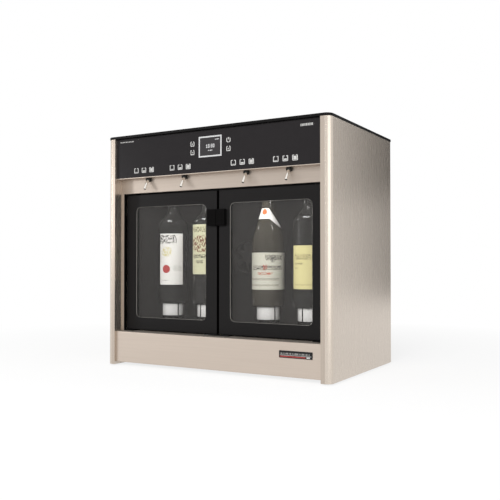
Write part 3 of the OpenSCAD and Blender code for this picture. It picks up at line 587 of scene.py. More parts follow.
    @classmethod
    def copy(cls, piece: Object, name: str, move: Vector) -> Object:
        """Copies a finished piece to another place, with a mesh of its own."""
        cls.clear()
        made = piece.copy()
        made.data = piece.data.copy()
        made.name = made.data.name = name
        bpy.context.scene.collection.objects.link(made)
        made.data.transform(Matrix.Translation(move))
        return made

    @classmethod
    def mirrored(cls, piece: Object, name: str) -> Object:
        """Copies a finished piece to the other side of the middle."""
        made = cls.copy(piece, name, Vector((0, 0, 0)))
        made.data.transform(Matrix.Scale(-1, 4, X))
        made.data.flip_normals()
        return made

    @classmethod
    def stamp(cls, name: str, rows: Sequence[str], low: Vector, high: Vector, thickness: float = INK) -> Object:
        """Makes a thin print that faces the front.

        Args:
            name: The print's name.
            rows: The drawing from the top down, in which a hash sign is ink.
            low: Lower left corner of the drawing.
            high: Upper right corner, at the same depth.
            thickness: How far the ink stands out.

        Returns:
            The print.
        """
        cls.clear()
        across, down = len(rows[0]), len(rows)
        size = Vector((high.x - low.x, high.z - low.z, 1))
        bpy.ops.mesh.primitive_grid_add(
            x_subdivisions=across, y_subdivisions=down, size=1, location=(low + high) / 2, rotation=(math.pi / 2, 0, 0)
        )
        piece = cls.settle(name, size)

        def bare(middle: Vector, way: Vector) -> bool:
            column = int((middle.x - low.x) / size.x * across)
            row = int((high.z - middle.z) / size.y * down)
            return rows[min(row, down - 1)][min(column, across - 1)] != "#"

        cls.remove_faces(piece, bare)
        cls.thicken(piece, thickness, outward=True)
        return piece

    @classmethod
    def join(cls, name: str, pieces: Sequence[Object]) -> Object:
        """Joins pieces of one finish into one object."""
        cls.clear()
        for piece in pieces:
            piece.select_set(True)
        bpy.context.view_layer.objects.active = pieces[0]
        bpy.ops.object.join()
        pieces[0].name = pieces[0].data.name = name
        return pieces[0]


@dataclass
class Part:
    """A sub-assembly: it builds its pieces, dresses them and seats each on its body."""

    nodes: dict[str, Object]
    body: str = field(default="cabinet", kw_only=True)

    def seat(
        self, piece: Object, finish: Finish, slot: str, replaces: Sequence[str] = (), body: str | None = None
    ) -> None:
        """Gives a piece its material and its body.

        Args:
            piece: The finished piece.
            finish: Its surface.
            slot: The record's material slot. It is not used.
            replaces: The nodes that it stands for.
            body: The body that it rides on, if not the part's own.
        """
        piece.data.materials.clear()
        piece.data.materials.append(finish.material())
        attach(piece, body or self.body)
        if replaces:
            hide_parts(*replaces)
        log.info("%s: %d faces, %s", piece.name, len(piece.data.polygons), finish.name)

    @staticmethod
    def repaint(piece: Object, finish: Finish, test: Test) -> None:
        """Gives a seated piece's faces another finish where their middle and normal pass a test."""
        piece.data.materials.append(finish.material())
        last = len(piece.data.materials) - 1
        for face in piece.data.polygons:
            if test(face.center, face.normal):
                face.material_index = last

    def dress(self, finish: Finish, *names: str) -> None:
        """Gives carried-over nodes a finish."""
        for name in names:
            materials = self.nodes[name].data.materials
            materials.clear()
            materials.append(finish.material())

    def soften(self, name: str, finish: Finish, slot: str, edge: float, body: str | None = None) -> None:
        """Stands a copy with rounded edges in for a solid whose form is right."""
        piece = self.copied(name)
        bpy.ops.mesh.dissolve_limited(angle_limit=math.radians(0.5))
        Bench.finish(piece, edge)
        self.seat(piece, finish, slot, [name], body)

    def copied(self, name: str) -> Object:
        """Copies a node's mesh to a new piece, which is left in edit mode with its doubles merged."""
        piece = bpy.data.objects.new(name + "_finished", self.nodes[name].data.copy())
        bpy.context.scene.collection.objects.link(piece)
        Bench.clear()
        piece.select_set(True)
        Bench.pick(piece, Element.FACE, every)
        bpy.ops.mesh.remove_doubles(threshold=DOUBLE)
        return piece


# Drawings in rows from the top down, in which a hash sign is ink
DIGITS = (
    ".#..###...###.###",
    "##..#.#.#...#.#.#",
    ".#..#.#...###.#.#",
    ".#..#.#.#...#.#.#",
    "###.###...###.###",
)
KEY_CUP = (
    ".###....###.",
    "###......###",
    "##........##",
    "##........##",
    "##...##...##",
    "##..###...##",
    "##...##...##",
    "##........##",
    "##........##",
    "############",
    ".##########.",
)
KEY_RING = (
    "....####....",
    ".#...##...#.",
    "###..##..###",
    "##...##...##",
    "##...##...##",
    "##........##",
    "##........##",
    "##........##",
    "###......###",
    ".####..####.",
    "...######...",
)


def broken(columns: int) -> str:
    """Draws one row of broken strokes in place of a line of text."""
    strokes = "##.#.###.##.#.##"
    return "".join(strokes[i % len(strokes)] for i in range(columns))


def tumbler(level: int) -> list[str]:
    """Draws a serving: an open tumbler, filled to a level of 0 to 10 rows."""
    body = ["##.########.##" if row < level else "##..........##" for row in range(9, -1, -1)]
    return [".####....####.", "#####....#####", *body, "##..........##", "##############", ".############."]


# ---------------------------------------------------------------- casing


@dataclass
class TopCover(Part):
    """The black slab over the side panels, with large front corners."""

    front_corner: float = 0.015
    rear_corner: float = 0.002
    edge: float = 0.0009

    def build(self) -> None:
        """Models the slab."""
        low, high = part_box("top_cover")
        slab = Bench.block("cover_slab", low, high)
        Bench.round_edges(slab, lambda middle, way: way.z > ALONG and middle.y < 0, self.front_corner, 12)
        Bench.round_edges(slab, lambda middle, way: way.z > ALONG and middle.y > high.y - NEAR, self.rear_corner, 4)
        Bench.finish(slab, self.edge, 3)
        self.seat(slab, Paint.black, "cover_paint", ["top_cover"])


@dataclass
class SidePanels(Part):
    """The two folded side panels: a large radius in front, returns inside."""

    corner: float = 0.014
    rear_fold: float = 0.0015
    returned: float = 0.060
    skin: float = 0.0015
    edge: float = 0.0003

    def build(self) -> None:
        """Folds the right panel from a block and mirrors it."""
        low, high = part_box("side_panel_right")
        panel = Bench.block("side_panel_right_skin", low, high)
        front, rear = low.y + self.returned, high.y - self.returned
        for y in (front, rear):
            Bench.split(panel, Vector((0, y, 0)), Y)
        Bench.remove_faces(panel, lambda middle, way: abs(way.z) > ALONG)
        Bench.remove_faces(panel, lambda middle, way: way.x < -ALONG and front < middle.y < rear)
        for y, radius, segments in ((low.y, self.corner, 14), (high.y, self.rear_fold, 3)):
            Bench.round_edges(
                panel,
                lambda middle, way: way.z > ALONG and middle.x > high.x - NEAR and abs(middle.y - y) < NEAR,
                radius,
                segments,
            )
        Bench.thicken(panel, self.skin)
        Bench.finish(panel, self.edge, 1)
        other = Bench.mirrored(panel, "side_panel_left_skin")
        for piece, node in ((panel, "side_panel_right"), (other, "side_panel_left")):
            self.seat(piece, Steel.side, "side_steel", [node])
            # The panels' front faces get a darker copy of their own steel: painted shade
            self.repaint(piece, Steel.post, lambda middle, way: way.y < -FLAT and middle.y < low.y + NEAR)


@dataclass
class FrontFrame(Part):
    """The band above the doors and the jambs, folded from one sheet, and the shelf over it."""

    skin: float = 0.0015
    flange: float = 0.008
    doorway_x: float = 0.2628
    doorway_top: float = 0.410
    fold: float = 0.0012
    spout_hole: float = 0.00355
    cutter: tuple[float, float] = (-0.02, 0.04)
    edge: float = 0.0002

    def build(self) -> None:
        """Cuts the doorway out of a sheet and folds its edge back."""
        low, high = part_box("front_frame")
        sheet = Bench.sheet_front("front_frame_sheet", low, high)
        side, top = self.doorway_x, self.doorway_top
        for x in (-side, side):
            Bench.split(sheet, Vector((x, 0, 0)), X)
        Bench.split(sheet, Vector((0, 0, top)), Z)
        Bench.remove_faces(sheet, lambda middle, way: abs(middle.x) < side and middle.z < top)

        def doorway(middle: Vector, way: Vector) -> bool:
            beside = way.z > ALONG and abs(abs(middle.x) - side) < NEAR and middle.z < top
            above = way.x > ALONG and abs(middle.z - top) < NEAR and abs(middle.x) < side
            return beside or above

        Bench.fold(sheet, doorway, Y * self.flange)
        Bench.face(sheet, lambda place: -Y)
        Bench.round_edges(
            sheet, lambda middle, way: abs(middle.y - low.y) < NEAR and doorway(middle, way), self.fold, 3
        )
        Bench.thicken(sheet, self.skin)
        for x in STATIONS:
            foot = SPOUT_FOOT + X * (x - STATIONS[0])
            start, end = (foot + SPOUT_AXIS * reach for reach in self.cutter)
            Bench.cut(sheet, Bench.rod(start, end, self.spout_hole))
        Bench.finish(sheet, self.edge, 1)
        self.seat(sheet, Steel.band, "front_steel", ["front_frame"])
        # The doorway's returns are painted near-black: painted shade of the gap round the doors
        self.repaint(sheet, Paint.matt, lambda middle, way: abs(way.x) > LEANS and abs(middle.x) < side + HAIR)
        self.dress(Steel.front, "fascia_carrier")


@dataclass
class Plinth(Part):
    """The sheet below the doors, folded back at the top as a ledge, with its badge plate."""

    skin: float = 0.0015
    returned: float = 0.015
    fold: float = 0.002
    edge: float = 0.0002
    badge_corner: float = 0.001
    badge_edge: float = 0.0003

    def build(self) -> None:
        """Folds the sheet and models the badge plate."""
        low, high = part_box("plinth_panel")
        front = Bench.sheet_front("plinth_sheet", low, high)
        Bench.fold(front, lambda middle, way: way.x > ALONG and middle.z > high.z - NEAR, Y * (high.y - low.y))
        Bench.fold(front, lambda middle, way: way.x > ALONG and middle.z < low.z + NEAR, Y * self.returned)
        Bench.face(front, lambda place: -Y)
        Bench.round_edges(front, lambda middle, way: way.x > ALONG and middle.y < low.y + NEAR, self.fold, 5)
        Bench.thicken(front, self.skin)
        Bench.finish(front, self.edge, 1)
        self.seat(front, Steel.front, "front_steel", ["plinth_panel"])
        # The ledge's top faces get their own darker tone of the same sheet's steel: painted shade
        self.repaint(front, Steel.ledge, lambda middle, way: way.z > LEANS and middle.y > low.y + 2 * HAIR)
        self.badge()

    def badge(self) -> None:
        """Models the plate, with plain strips and broken strokes in place of lettering."""
        low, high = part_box("badge_plate")
        plate = Bench.block("badge_plate_body", low, high)
        Bench.round_edges(plate, runs_back, self.badge_corner, 4)
        Bench.finish(plate, self.badge_edge)
        self.seat(plate, Plastic.gloss, "badge", ["badge_plate"])
        size = high - low
        # Each strip's columns, and its left, right, bottom and top as shares of the plate
        for name, ink, columns, left, right, bottom, top in (
            ("badge_strip", Print.red, 1, 0.03, 0.80, 0.13, 0.30),
            ("badge_hairline", Print.faint, 1, 0.03, 0.97, 0.36, 0.42),
            ("badge_corner_mark", Print.white, 1, 0.83, 0.93, 0.11, 0.31),
            ("badge_panel", Print.grey, 30, 0.05, 0.95, 0.50, 0.72),
        ):
            corner = low + Vector((left * size.x, 0, bottom * size.z))
            other = low + Vector((right * size.x, 0, top * size.z))
            self.seat(Bench.stamp(name, [broken(columns)], corner, other), ink, "badge")


@dataclass
class ControlFascia(Part):
    """The black glass with its printed icons and the lit display behind it."""

    icon: tuple[float, float] = (0.0128, 0.0118)
    icon_pitch: float = 0.0224
    icon_z: float = 0.4608
    key: tuple[float, float] = (0.0104, 0.0110)
    display_low: tuple[float, float] = (-0.031, 0.4784)
    display_high: tuple[float, float] = (0.0293, 0.5246)
    display_line: float = 0.0031
    window: float = 0.0001
    lit_ink: float = 0.00025
    edge: float = 0.0005

    def build(self) -> None:
        """Models the pane and prints on its face."""
        low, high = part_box("control_fascia")
        pane = Bench.block("fascia_pane", low, high)
        Bench.finish(pane, self.edge, 3)
        self.seat(pane, Glass.fascia, "fascia_glass", ["control_fascia"])
        self.face = low.y
        self.icons()
        self.display()
        self.keys()
        self.row("corner_bar_left", 34, (-0.257, 0.5296), (-0.217, 0.5320), Print.faint, "fascia_glass")
        self.row("corner_bar_right", 34, (0.221, 0.5240), (0.249, 0.5290), Print.faint, "fascia_glass")

    def place(self, x: float, z: float) -> Vector:
        """Returns a place on the glass."""
        return Vector((x, self.face, z))

    def centred(self, name: str, rows: Sequence[str], middle: Vector, size: tuple[float, float]) -> Object:
        """Prints a drawing round a middle."""
        half = Vector((size[0] / 2, 0, size[1] / 2))
        return Bench.stamp(name, rows, middle - half, middle + half)

    def row(
        self,
        name: str,
        columns: int,
        low: tuple[float, float],
        high: tuple[float, float],
        ink: Finish,
        slot: str,
        thickness: float = INK,
    ) -> None:
        """Prints one row of broken strokes between two corners."""
        self.seat(Bench.stamp(name, [broken(columns)], self.place(*low), self.place(*high), thickness), ink, slot)

    def icons(self) -> None:
        """Prints three servings over each spout."""
        prints = []
        for column, level in ((-1, 1), (0, 4), (1, 9)):
            middle = self.place(STATIONS[0] + column * self.icon_pitch, self.icon_z)
            first = self.centred("serving_icon", tumbler(level), middle, self.icon)
            prints.append(first)
            prints += [Bench.copy(first, "serving_icon_copy", X * (x - STATIONS[0])) for x in STATIONS[1:]]
        self.seat(Bench.join("serving_icons", prints), Print.white, "fascia_glass")

    def display(self) -> None:
        """Prints the display's frame, window, digits and two short rows."""
        low, high = self.place(*self.display_low), self.place(*self.display_high)
        frame = Bench.sheet_front("display_outline", low, high)
        Bench.hollow(frame, self.display_line)
        Bench.thicken(frame, INK, outward=True)
        self.seat(frame, Print.lit, "display")
        inside = Vector((self.display_line, 0, self.display_line))
        window = Bench.sheet_front("display_window", low + inside, high - inside)
        Bench.thicken(window, self.window, outward=True)
        self.seat(window, Print.screen, "display")
        corners = self.place(-0.0115, 0.4985), self.place(0.0105, 0.5065)
        self.seat(Bench.stamp("display_digits", DIGITS, *corners, self.lit_ink), Print.lit, "display")
        self.row("display_line_of_text", 12, (-0.006, 0.4915), (0.006, 0.4937), Print.lit, "display", self.lit_ink)
        self.row("display_corner_mark", 12, (0.0125, 0.5150), (0.0235, 0.5172), Print.lit, "display", self.lit_ink)

    def keys(self) -> None:
        """Prints the four keys beside the display."""
        keys = (
            (-0.048, 0.5102, KEY_CUP),
            (-0.048, 0.4910, KEY_CUP),
            (0.047, 0.5118, KEY_RING),
            (0.047, 0.4926, KEY_CUP),
        )
        prints = [self.centred("key_icon", drawing, self.place(x, z), self.key) for x, z, drawing in keys]
        self.seat(Bench.join("key_icons", prints), Print.white, "fascia_glass")


# ---------------------------------------------------------------- doors


@dataclass
class GlassDoors(Part):
    """Two doors: enamelled frame, two panes with their spacer, gasket and half of the square pull."""

    stile: float = 0.030
    rebate: float = 0.022
    lip: float = 0.003
    window_corner: float = 0.011
    corner: float = 0.0015
    pane: float = 0.003
    spacer: float = 0.007
    pin: float = 0.00305
    pin_place: tuple[float, float] = (0.254, -0.138)
    pin_depth: float = 0.0105
    rebate_corner: float = 0.002
    past: float = 0.002
    grip_rim: float = 0.0025
    grip_depth: float = 0.004
    trim: float = 0.001
    edge: float = 0.0007
    pane_edge: float = 0.0003
    pull_edge: float = 0.0005

    def build(self) -> None:
        """Models the right door's pieces and mirrors each to the left."""
        pairs = (
            (self.border(), Metal.door, "door_border", "door_frame"),
            (self.sheet_of_glass("outer_pane", front=True), Glass.outer, "door_glass", "door_glass"),
            (self.sheet_of_glass("inner_pane", front=False), Glass.inner, "door_glass", "door_glass"),
            (self.spacer_bar(), Plastic.black, "door_glass", "door_glass"),
            (self.pull(), Paint.matt, "pull", "door_pull"),
        )
        for piece, finish, slot, node in pairs:
            other = Bench.mirrored(piece, piece.name.removesuffix("_right") + "_left")
            for item, side in ((piece, "right"), (other, "left")):
                self.seat(item, finish, slot, [f"{node}_{side}"], f"{side}_door")
                if node == "door_frame":
                    self.line_border(item)
        # The gaskets get the near-black finish: painted shade in the gap between the doors
        self.dress(Paint.matt, "door_gasket_left", "door_gasket_right")

    def border(self) -> Object:
        """Cuts the window, the rebate behind it and the pins' bores out of a slab."""
        low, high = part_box("door_frame_right")
        inset = Vector((self.stile, 0, self.stile))
        behind = Vector((self.rebate, 0, self.rebate))
        past = Y * self.past
        slab = Bench.block("door_border_right", low, high)
        Bench.round_edges(slab, runs_back, self.corner, 3)
        bpy.ops.object.mode_set(mode="OBJECT")
        window = Bench.block("window_cut", low + inset - past, high - inset + past)
        Bench.round_edges(window, runs_back, self.window_corner, 8)
        Bench.cut(slab, window)
        seat = Bench.block("rebate_cut", low + behind + Y * self.lip, high - behind + past)
        Bench.round_edges(seat, runs_back, self.rebate_corner, 3)
        Bench.cut(slab, seat)
        for height, inwards in ((low.z, Z), (high.z, -Z)):
            place = Vector((*self.pin_place, height))
            start, end = sorted((place - inwards * self.past, place + inwards * self.pin_depth), key=lambda p: p.z)
            Bench.cut(slab, Bench.rod(start, end, self.pin))
        Bench.finish(slab, self.edge, 3)
        return slab

    def line_border(self, border: Object) -> None:
        """Gives the rounded edge round the window its bright trim, and paints the door's outer sides near-black as
        painted shade in the gaps beside them.
        """
        low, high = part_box("door_frame_right")
        middle = (low + high) / 2
        reach = (high - low) / 2 - Vector((1, 0, 1)) * (self.stile - self.trim)

        def trimmed(place: Vector, way: Vector) -> bool:
            across, up = abs(abs(place.x) - middle.x), abs(place.z - middle.z)
            return across < reach.x and up < reach.z and place.y < low.y + self.trim and way.y > -FLAT

        def sides(place: Vector, way: Vector) -> bool:
            outer = abs(place.x) > high.x - HAIR or abs(place.x) < low.x + HAIR
            return outer and abs(way.x) > ALONG

        self.repaint(border, Metal.trim, trimmed)
        # The outer sides are painted near-black: painted shade in the gaps
        self.repaint(border, Paint.matt, sides)

    def sheet_of_glass(self, name: str, front: bool) -> Object:
        """Models one pane, against the border's lip or flush with the door's back."""
        low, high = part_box("door_glass_right")
        if front:
            high = Vector((high.x, low.y + self.pane, high.z))
        else:
            low = Vector((low.x, high.y - self.pane, low.z))
        sheet = Bench.block(name + "_right", low, high)
        Bench.round_edges(sheet, runs_back, self.corner, 3)
        Bench.finish(sheet, self.pane_edge)
        return sheet

    def spacer_bar(self) -> Object:
        """Models the frame that holds the panes apart."""
        low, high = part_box("door_glass_right")
        ring = Bench.sheet_front("pane_spacer_right", low + Y * self.pane, high)
        Bench.hollow(ring, self.spacer)
        Bench.thicken(ring, high.y - low.y - 2 * self.pane)
        Bench.finish(ring)
        return ring

    def pull(self) -> Object:
        """Models the pull's half, with a hollow for the fingers in its outer side."""
        low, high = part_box("door_pull_right")
        grip = Bench.block("pull_right", low, high)
        Bench.round_edges(grip, runs_back, self.corner, 4)
        Bench.pick(grip, Element.FACE, lambda middle, way: way.x > ALONG)
        bpy.ops.mesh.inset(thickness=self.grip_rim, depth=0)
        bpy.ops.transform.translate(value=X * -self.grip_depth)
        Bench.finish(grip, self.pull_edge, 3)
        return grip


# ---------------------------------------------------------------- bottle stations


def ease(start: float, end: float, share: float) -> float:
    """Returns a value on the eased curve from start to end."""
    return end + (start - end) * (1 + math.cos(math.pi * share)) / 2


@dataclass
class Bottle(Part):
    """One bottle with its wine, riding on its lift."""

    station: int = 0
    shoulder: float = 0.190
    neck_from: float = 0.228
    glass: Finish = Glass.green
    slot: str = "bottle_dark"
    radius: float = 0.037
    neck: float = 0.0145
    bore: float = 0.0095
    wall: float = 0.003
    height: float = 0.300
    fill: float = 0.205

    def build(self) -> None:
        """Turns the glass and the wine inside it."""
        number_of = self.station + 1
        name = f"bottle_{number_of}"
        self.body = f"lift_{number_of}"
        low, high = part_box(f"bottle_{number_of}")
        self.foot = Vector(((low.x + high.x) / 2, (low.y + high.y) / 2, low.z))
        glass = Bench.turned(name + "_glass", self.outline(), self.foot)
        Bench.finish(glass, angle=GLASS_ANGLE)
        self.seat(glass, self.glass, self.slot, [name])
        wine = Bench.turned(name + "_wine", self.wine_outline(), self.foot)
        Bench.finish(wine, angle=GLASS_ANGLE)
        self.seat(wine, Print.wine, self.slot)

    def curve(self, start: float, end: float, lift: float = 0.0) -> list[tuple[float, float]]:
        """Returns the shoulder's outline from one radius to another."""
        rise = self.neck_from - self.shoulder
        shares = [step / SHOULDER_STEPS for step in range(SHOULDER_STEPS + 1)]
        return [(ease(start, end, share), self.shoulder + lift + rise * share) for share in shares]

    def outline(self) -> list[tuple[float, float]]:
        """Returns the outside from the foot to the lip, and the inside back down."""
        r, n, top = self.radius, self.neck, self.height
        outside = [(0, 0.003), (r - 0.017, 0.0012), (r - 0.014, 0), (r - 0.004, 0), (r - 0.001, 0.0012), (r, 0.004)]
        outside += self.curve(r, n)
        outside += [(n, top - 0.014), (n + 0.0012, top - 0.013), (n + 0.0012, top - 0.005), (n, top - 0.004), (n, top)]
        return outside + self.inside(top)[::-1]

    def inside(self, top: float) -> list[tuple[float, float]]:
        """Returns the hollow's outline from the punt upwards, cut off at a height."""
        r = self.radius - self.wall
        points = [(0, 0.009), (r - 0.003, 0.007), (r, 0.012)]
        points += [point for point in self.curve(r, self.bore, -0.001) if point[1] < top]
        if top > self.neck_from:
            points.append((self.bore, top))
        return points

    def wine_outline(self) -> list[tuple[float, float]]:
        """Returns the wine's outline, a hair inside the glass."""
        inner = [(max(radius - 0.0002, 0), height + 0.0003) for radius, height in self.inside(self.fill)]
        return [*inner, (inner[-1][0], self.fill), (0, self.fill)]


@dataclass(frozen=True)
class Mark:
    """A printed patch, in millimetres from a label's lower left corner. Strokes break it up."""

    left: float
    right: float
    low: float
    high: float
    colour: str
    strokes: float = 0.0
    oval: bool = False

    def mask(self, tree: Tree, u: Socket, v: Socket) -> Socket:
        """Returns 1 where the patch is printed, from the millimetres along the label and up it."""
        across, up = (
            number(tree, "DIVIDE", number(tree, "ABSOLUTE", number(tree, "SUBTRACT", at, (a + b) / 2)), (b - a) / 2)
            for at, a, b in ((u, self.left, self.right), (v, self.low, self.high))
        )
        if self.oval:
            reach = number(tree, "ADD", number(tree, "POWER", across, 2.0), number(tree, "POWER", up, 2.0))
        else:
            reach = number(tree, "MAXIMUM", across, up)
        inside = number(tree, "LESS_THAN", reach, 1.0)
        if not self.strokes:
            return inside
        place = add(tree, "ShaderNodeCombineXYZ", {"X": u, "Y": v}).outputs[0]
        scale = (1 / self.strokes, STROKE_SHAPE / self.strokes, 1.0)
        place = add(tree, "ShaderNodeMapping", {"Vector": place, "Scale": scale}).outputs["Vector"]
        grain = add(tree, "ShaderNodeTexNoise", {"Vector": place, "Scale": 1.0, "Detail": 1.0}).outputs["Fac"]
        return number(tree, "MULTIPLY", inside, number(tree, "GREATER_THAN", grain, 0.5))


@dataclass(frozen=True)
class LabelPaper(Finish):
    """Paper wrapped round a bottle, with generic print laid out along its curve."""

    middle: tuple[float, float] = (0.0, 0.0)
    radius: float = 0.0372
    start: float = 0.0
    foot: float = 0.0
    marks: tuple[Mark, ...] = ()

    def tone(self, tree: Tree, place: Socket, noise: Socket) -> Socket:
        """Returns the paper's colour with each mark over it."""
        colour = Finish.tone(self, tree, place, noise)
        parts = add(tree, "ShaderNodeSeparateXYZ", {0: place}).outputs
        x = number(tree, "SUBTRACT", parts["X"], self.middle[0])
        depth = number(tree, "SUBTRACT", self.middle[1], parts["Y"])
        angle = number(tree, "SUBTRACT", number(tree, "ARCTAN2", x, depth), self.start)
        along = number(tree, "MULTIPLY", angle, self.radius * 1000)
        up = number(tree, "MULTIPLY", number(tree, "SUBTRACT", parts["Z"], self.foot), 1000.0)
        for mark in self.marks:
            colour = mix(tree, mark.mask(tree, along, up), colour, linear(mark.colour))
        return colour


# Generic print: broken rows in place of words, and plain shapes
FIRST_LABEL = (
    Mark(0, 46, 100, 121, "#5d5a56", strokes=2.6),
    Mark(6, 36, 68, 92, "#d9cd92", strokes=2.6, oval=True),
    Mark(10, 30, 28, 48, "#b5403f", oval=True),
    Mark(38, 60, 33, 47, "#c9c5bd", strokes=1.1),
    Mark(10, 26, 9, 12, "#a8a49c", strokes=0.8),
)
SECOND_LABEL = (
    Mark(10, 72, 100, 112, "#8b8768", strokes=2.2),
    Mark(6, 74, 52, 92, "#8a6148", strokes=3.4, oval=True),
    Mark(12, 66, 38, 47, "#3f3b30", strokes=1.6),
    Mark(26, 46, 26, 34, "#4a4638", strokes=1.4),
)
THIRD_LABEL = (
    Mark(76, 118, 66, 78, "#3f3c39", strokes=1.8),
    Mark(88, 100, 60, 78, "#2f2b28", strokes=2.4, oval=True),
    Mark(41, 118, 44, 54, "#3a3733", strokes=1.7),
    Mark(71, 80, 43, 56, "#b8452f", strokes=2.6),
    Mark(58, 93, 33, 39, "#c0583c", strokes=1.7),
    Mark(30, 110, 21, 26, "#8f8b80", strokes=0.9),
    Mark(30, 110, 8, 12, "#9a968a", strokes=0.9),
)
FOURTH_LABEL = (
    Mark(8, 60, 64, 76, "#9c9466", strokes=1.8),
    Mark(8, 30, 53, 57, "#8d8558", strokes=1.0),
    Mark(8, 18, 44, 47, "#8d8558", strokes=1.0),
    Mark(6, 60, 8, 11, "#b3aa78", strokes=0.9),
)
SASH = (Mark(28, 52, 28, 41, "#d9692f", oval=True),)


@dataclass
class Label(Part):
    """A paper label on one bottle, from a start angle to an end angle counted from the front."""

    station: int = 0
    start: float = 0.0
    end: float = 0.0
    low: float = 0.0
    high: float = 0.0
    paper: str = "#f2efe8"
    second: str = "#e9e5dc"
    marks: tuple[Mark, ...] = ()
    stand_off: float = 0.0372
    thickness: float = 0.00012

    def build(self) -> None:
        """Spins the label's edge round the bottle."""
        self.body = f"lift_{self.station + 1}"
        low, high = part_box(f"bottle_{self.station + 1}")
        middle = Vector(((low.x + high.x) / 2, (low.y + high.y) / 2, 0))
        sheet = self.wrap(middle)
        Bench.thicken(sheet, self.thickness, outward=True)
        Bench.finish(sheet, angle=GLASS_ANGLE)
        paper = LabelPaper(
            name=sheet.name + "_paper",
            colour=self.paper,
            second=self.second,
            roughness=0.62,
            feature=0.004,
            middle=(middle.x, middle.y),
            start=math.radians(self.start),
            foot=self.low,
            marks=self.marks,
        )
        self.seat(sheet, paper, "bottle_dark")

    def wrap(self, middle: Vector) -> Object:
        """Returns the label's sheet on the bottle's straight side."""
        first = self.around(middle, self.stand_off, self.start, self.low)
        line = [first, first + Z * (self.high - self.low)]
        return Bench.swept(f"label_{self.station + 1}", line, middle, self.end - self.start)

    @staticmethod
    def around(middle: Vector, radius: float, angle: float, height: float) -> Vector:
        """Returns a place round a bottle, at an angle counted from the front to the right."""
        turn = math.radians(angle)
        return middle + Vector((radius * math.sin(turn), -radius * math.cos(turn), height))


@dataclass
class ShoulderSash(Label):
    """A paper sash over the third bottle's sloping shoulder: a broad patch in front, and a tail to the right.

    Its corners are angles and heights. It is trimmed along straight lines as seen along the view.
    """

    bottle: Bottle | None = None
    bend: float = 35.0
    patch_low: float = 0.3435
    patch_slant: float = 26.0
    tail_top: tuple[float, float] = (100, 0.3325)
    tail_bottom: tuple[float, float] = (95, 0.3255)
    off: float = 0.0004
    seam: float = 1e-5
    view: Vector = field(default_factory=lambda: Vector((-0.45, 0.89, 0)))

    def wrap(self, middle: Vector) -> Object:
        """Spins the shoulder's outline twice, and trims the patch's left end and the tail's two edges."""
        name = f"sash_{self.station + 1}"
        patch = Bench.swept(name, self.outline(middle, self.start, self.patch_low), middle, self.bend - self.start)
        self.trim(patch, middle, (self.start, self.patch_low), (self.start + self.patch_slant, self.high))
        tail = Bench.swept("sash_tail", self.outline(middle, self.bend, self.low), middle, self.end - self.bend)
        self.trim(tail, middle, (self.bend, self.high), self.tail_top)
        self.trim(tail, middle, self.tail_bottom, (self.bend, self.patch_low))
        sash = Bench.join(name, [patch, tail])
        Bench.pick(sash, Element.FACE, every)
        bpy.ops.mesh.remove_doubles(threshold=self.seam)
        return sash

    def outline(self, middle: Vector, angle: float, low: float) -> list[Vector]:
        """Returns the shoulder's outline at an angle, a hair outside the glass."""
        heights = [low + (self.high - low) * step / SHOULDER_STEPS for step in range(SHOULDER_STEPS + 1)]
        return [self.around(middle, self.reach(height), angle, height) for height in heights]

    def reach(self, height: float) -> float:
        """Returns the paper's radius at a height."""
        source = self.bottle
        share = (height - source.foot.z - source.shoulder) / (source.neck_from - source.shoulder)
        return ease(source.radius, source.neck, min(max(share, 0), 1)) + self.off

    def trim(self, sheet: Object, middle: Vector, start: tuple[float, float], end: tuple[float, float]) -> None:
        """Cuts off what is left of a line between two places, each an angle and a height."""
        first, last = (self.around(middle, self.reach(height), angle, height) for angle, height in (start, end))
        Bench.split(sheet, first, (last - first).cross(self.view).normalized(), clear=True)


@dataclass
class LiftPlatform(Part):
    """One lift: a pale cap over a black sleeve, with a keyway down its side."""

    station: int = 0
    keyway: float = -26.0
    radius: float = 0.026
    wall: float = 0.003
    roof: float = 0.005
    cap: float = 0.029
    groove: float = 0.0016
    gap: float = 0.0002
    past: float = 0.001
    steep: float = 0.5

    def build(self) -> None:
        """Turns the cap and the sleeve and cuts the keyway through both."""
        number_of = self.station + 1
        self.body = f"lift_{number_of}"
        node = f"lift_platform_{number_of}"
        low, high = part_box(node)
        foot = Vector((STATIONS[self.station], STATION_Y, low.z))
        tall = high.z - low.z
        seam = tall - self.cap
        r, inner = self.radius, self.radius - self.wall
        crown = [(0, tall - self.roof), (inner, tall - self.roof), (inner, seam), (r - self.gap, seam)]
        crown += [(r, seam + 0.0004), (r, tall - 0.0012), (r - 0.0004, tall - 0.0004), (r - 0.0012, tall), (0, tall)]
        cap = Bench.turned(f"lift_cap_{number_of}", crown, foot, steps=96)
        rim = [(inner, 0), (r - self.gap, 0), (r - self.gap, seam - self.gap), (inner, seam - self.gap), (inner, 0)]
        sleeve = Bench.turned(f"lift_sleeve_{number_of}", rim, foot, steps=96)
        turn = math.radians(self.keyway)
        start = foot + Vector((r * math.cos(turn), r * math.sin(turn), -self.past))
        for piece in (cap, sleeve):
            Bench.cut(piece, Bench.rod(start, start + Z * (tall - self.roof + self.past), self.groove))
            Bench.finish(piece, angle=TURNED_ANGLE)
        self.seat(cap, Plastic.platform, "platform", [node])
        self.seat(sleeve, Plastic.gloss, "platform", [node])
        # The groove's walls in the pale cap are painted black: painted shade in the recess
        reach = self.groove * 1.05  # a little past the groove's wall
        self.repaint(
            cap, Plastic.gloss, lambda place, way: (place - start).xy.length < reach and abs(way.z) < self.steep
        )


